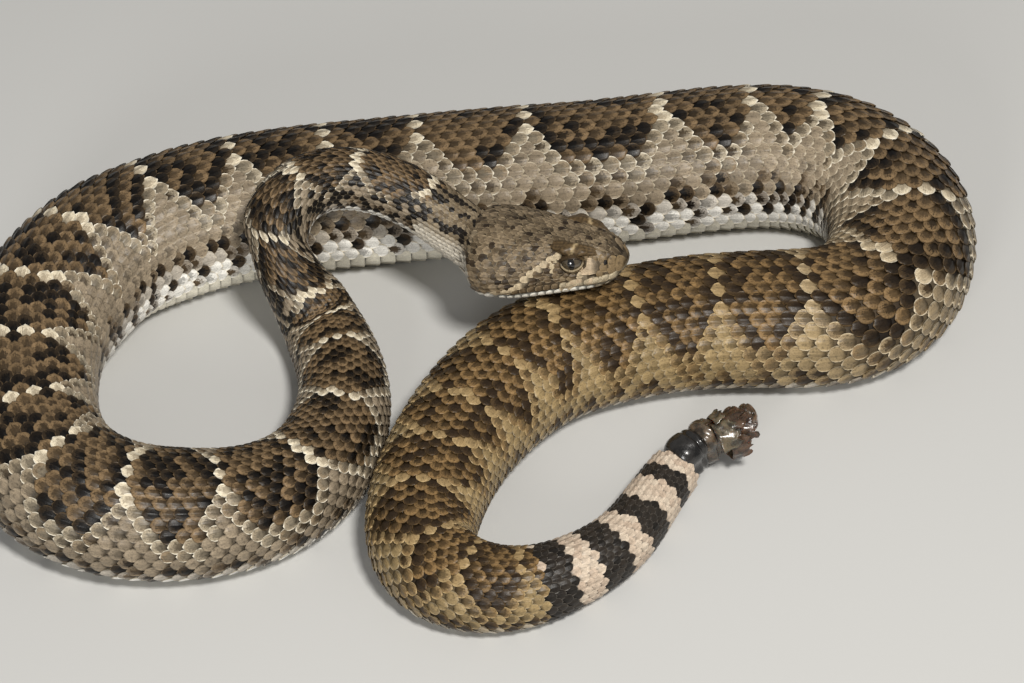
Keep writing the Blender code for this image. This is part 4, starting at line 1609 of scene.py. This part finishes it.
class SNAKE_OT_rattle(bpy.types.Operator):
    """Make the rattle"""

    bl_idname = "snake.rattle"
    bl_label = "Rattle"

    def execute(self, context):
        build_rattle(the_surface())
        return {"FINISHED"}


CAMERA_HEIGHT_ANGLE = math.radians(46)
CAMERA_AWAY = 0.92
CAMERA_AIM = (0.011, 0.013, 0.0)


def area_light(name, place, size, power, colour):
    data = bpy.data.lights.new(name, "AREA")
    data.shape = "DISK"
    data.size = size
    data.energy = power
    data.color = colour
    light = in_scene(name, data)
    light.location = place
    light.rotation_euler = light.location.to_track_quat("Z", "Y").to_euler()
    return light


class SNAKE_OT_stage(bpy.types.Operator):
    """Set up the floor, the light and the camera"""

    bl_idname = "snake.stage"
    bl_label = "Stage"

    def execute(self, context):
        stage = context.scene.snake_stage
        scene = context.scene
        half = 6.0
        points = [(-half, -half, 0), (half, -half, 0), (half, half, 0), (-half, half, 0)]
        floor = in_scene("floor", mesh_from("floor", points, [(0, 1, 2, 3)]))
        shader = Shader("floor_finish")
        shader.look({"Base Color": (*stage.floor_colour, 1.0), "Roughness": 0.85, "Specular IOR Level": 0.2})
        floor.data.materials.append(shader.finish)
        key = area_light("key_light", (0.28, -0.5, 1.05), 0.24, stage.light_power * 2.7, (1.0, 0.97, 0.92))
        fill = area_light("fill_light", (-0.35, -1.2, 0.46), 0.36, stage.light_power * 1.1, (1.0, 0.99, 0.97))
        world = bpy.data.worlds.new("studio")
        world.use_nodes = True
        world.node_tree.nodes["Background"].inputs["Color"].default_value = (0.9, 0.9, 0.9, 1.0)
        world.node_tree.nodes["Background"].inputs["Strength"].default_value = 0.28
        scene.world = world
        data = bpy.data.cameras.new("camera")
        data.lens = stage.lens
        data.sensor_width = 36.0
        data.clip_start = 0.01
        camera = in_scene("camera", data)
        rise = CAMERA_AWAY * math.sin(CAMERA_HEIGHT_ANGLE)
        back = CAMERA_AWAY * math.cos(CAMERA_HEIGHT_ANGLE)
        camera.location = (CAMERA_AIM[0], CAMERA_AIM[1] - back, CAMERA_AIM[2] + rise)
        camera.rotation_euler = (math.pi / 2 - CAMERA_HEIGHT_ANGLE, 0.0, 0.0)
        scene.camera = camera
        scene.view_settings.view_transform = "Standard"
        return {"FINISHED"}


PIECES = (
    SNAKE_OT_skin,
    SNAKE_OT_back_scales,
    SNAKE_OT_belly_plates,
    SNAKE_OT_head_scales,
    SNAKE_OT_eyes,
    SNAKE_OT_rattle,
    SNAKE_OT_stage,
)


class SNAKE_PT_panel(bpy.types.Panel):
    """Pieces of the rattlesnake"""

    bl_idname = "SNAKE_PT_panel"
    bl_label = "Rattlesnake"
    bl_space_type = "VIEW_3D"
    bl_region_type = "UI"
    bl_category = "Rattlesnake"

    def draw(self, context):
        for group in (context.scene.snake, context.scene.snake_stage):
            for name in group.__annotations__:
                self.layout.prop(group, name)
        for piece in PIECES:
            self.layout.operator(piece.bl_idname)


CLASSES = (SnakeSettings, StageSettings, *PIECES, SNAKE_PT_panel)


def register():
    for item in CLASSES:
        bpy.utils.register_class(item)
    bpy.types.Scene.snake = PointerProperty(type=SnakeSettings)
    bpy.types.Scene.snake_stage = PointerProperty(type=StageSettings)


def unregister():
    del bpy.types.Scene.snake_stage
    del bpy.types.Scene.snake
    for item in reversed(CLASSES):
        bpy.utils.unregister_class(item)


def main():
    register()
    for piece in PIECES:
        group, name = piece.bl_idname.split(".")
        getattr(getattr(bpy.ops, group), name)()


if __name__ == "__main__":
    main()
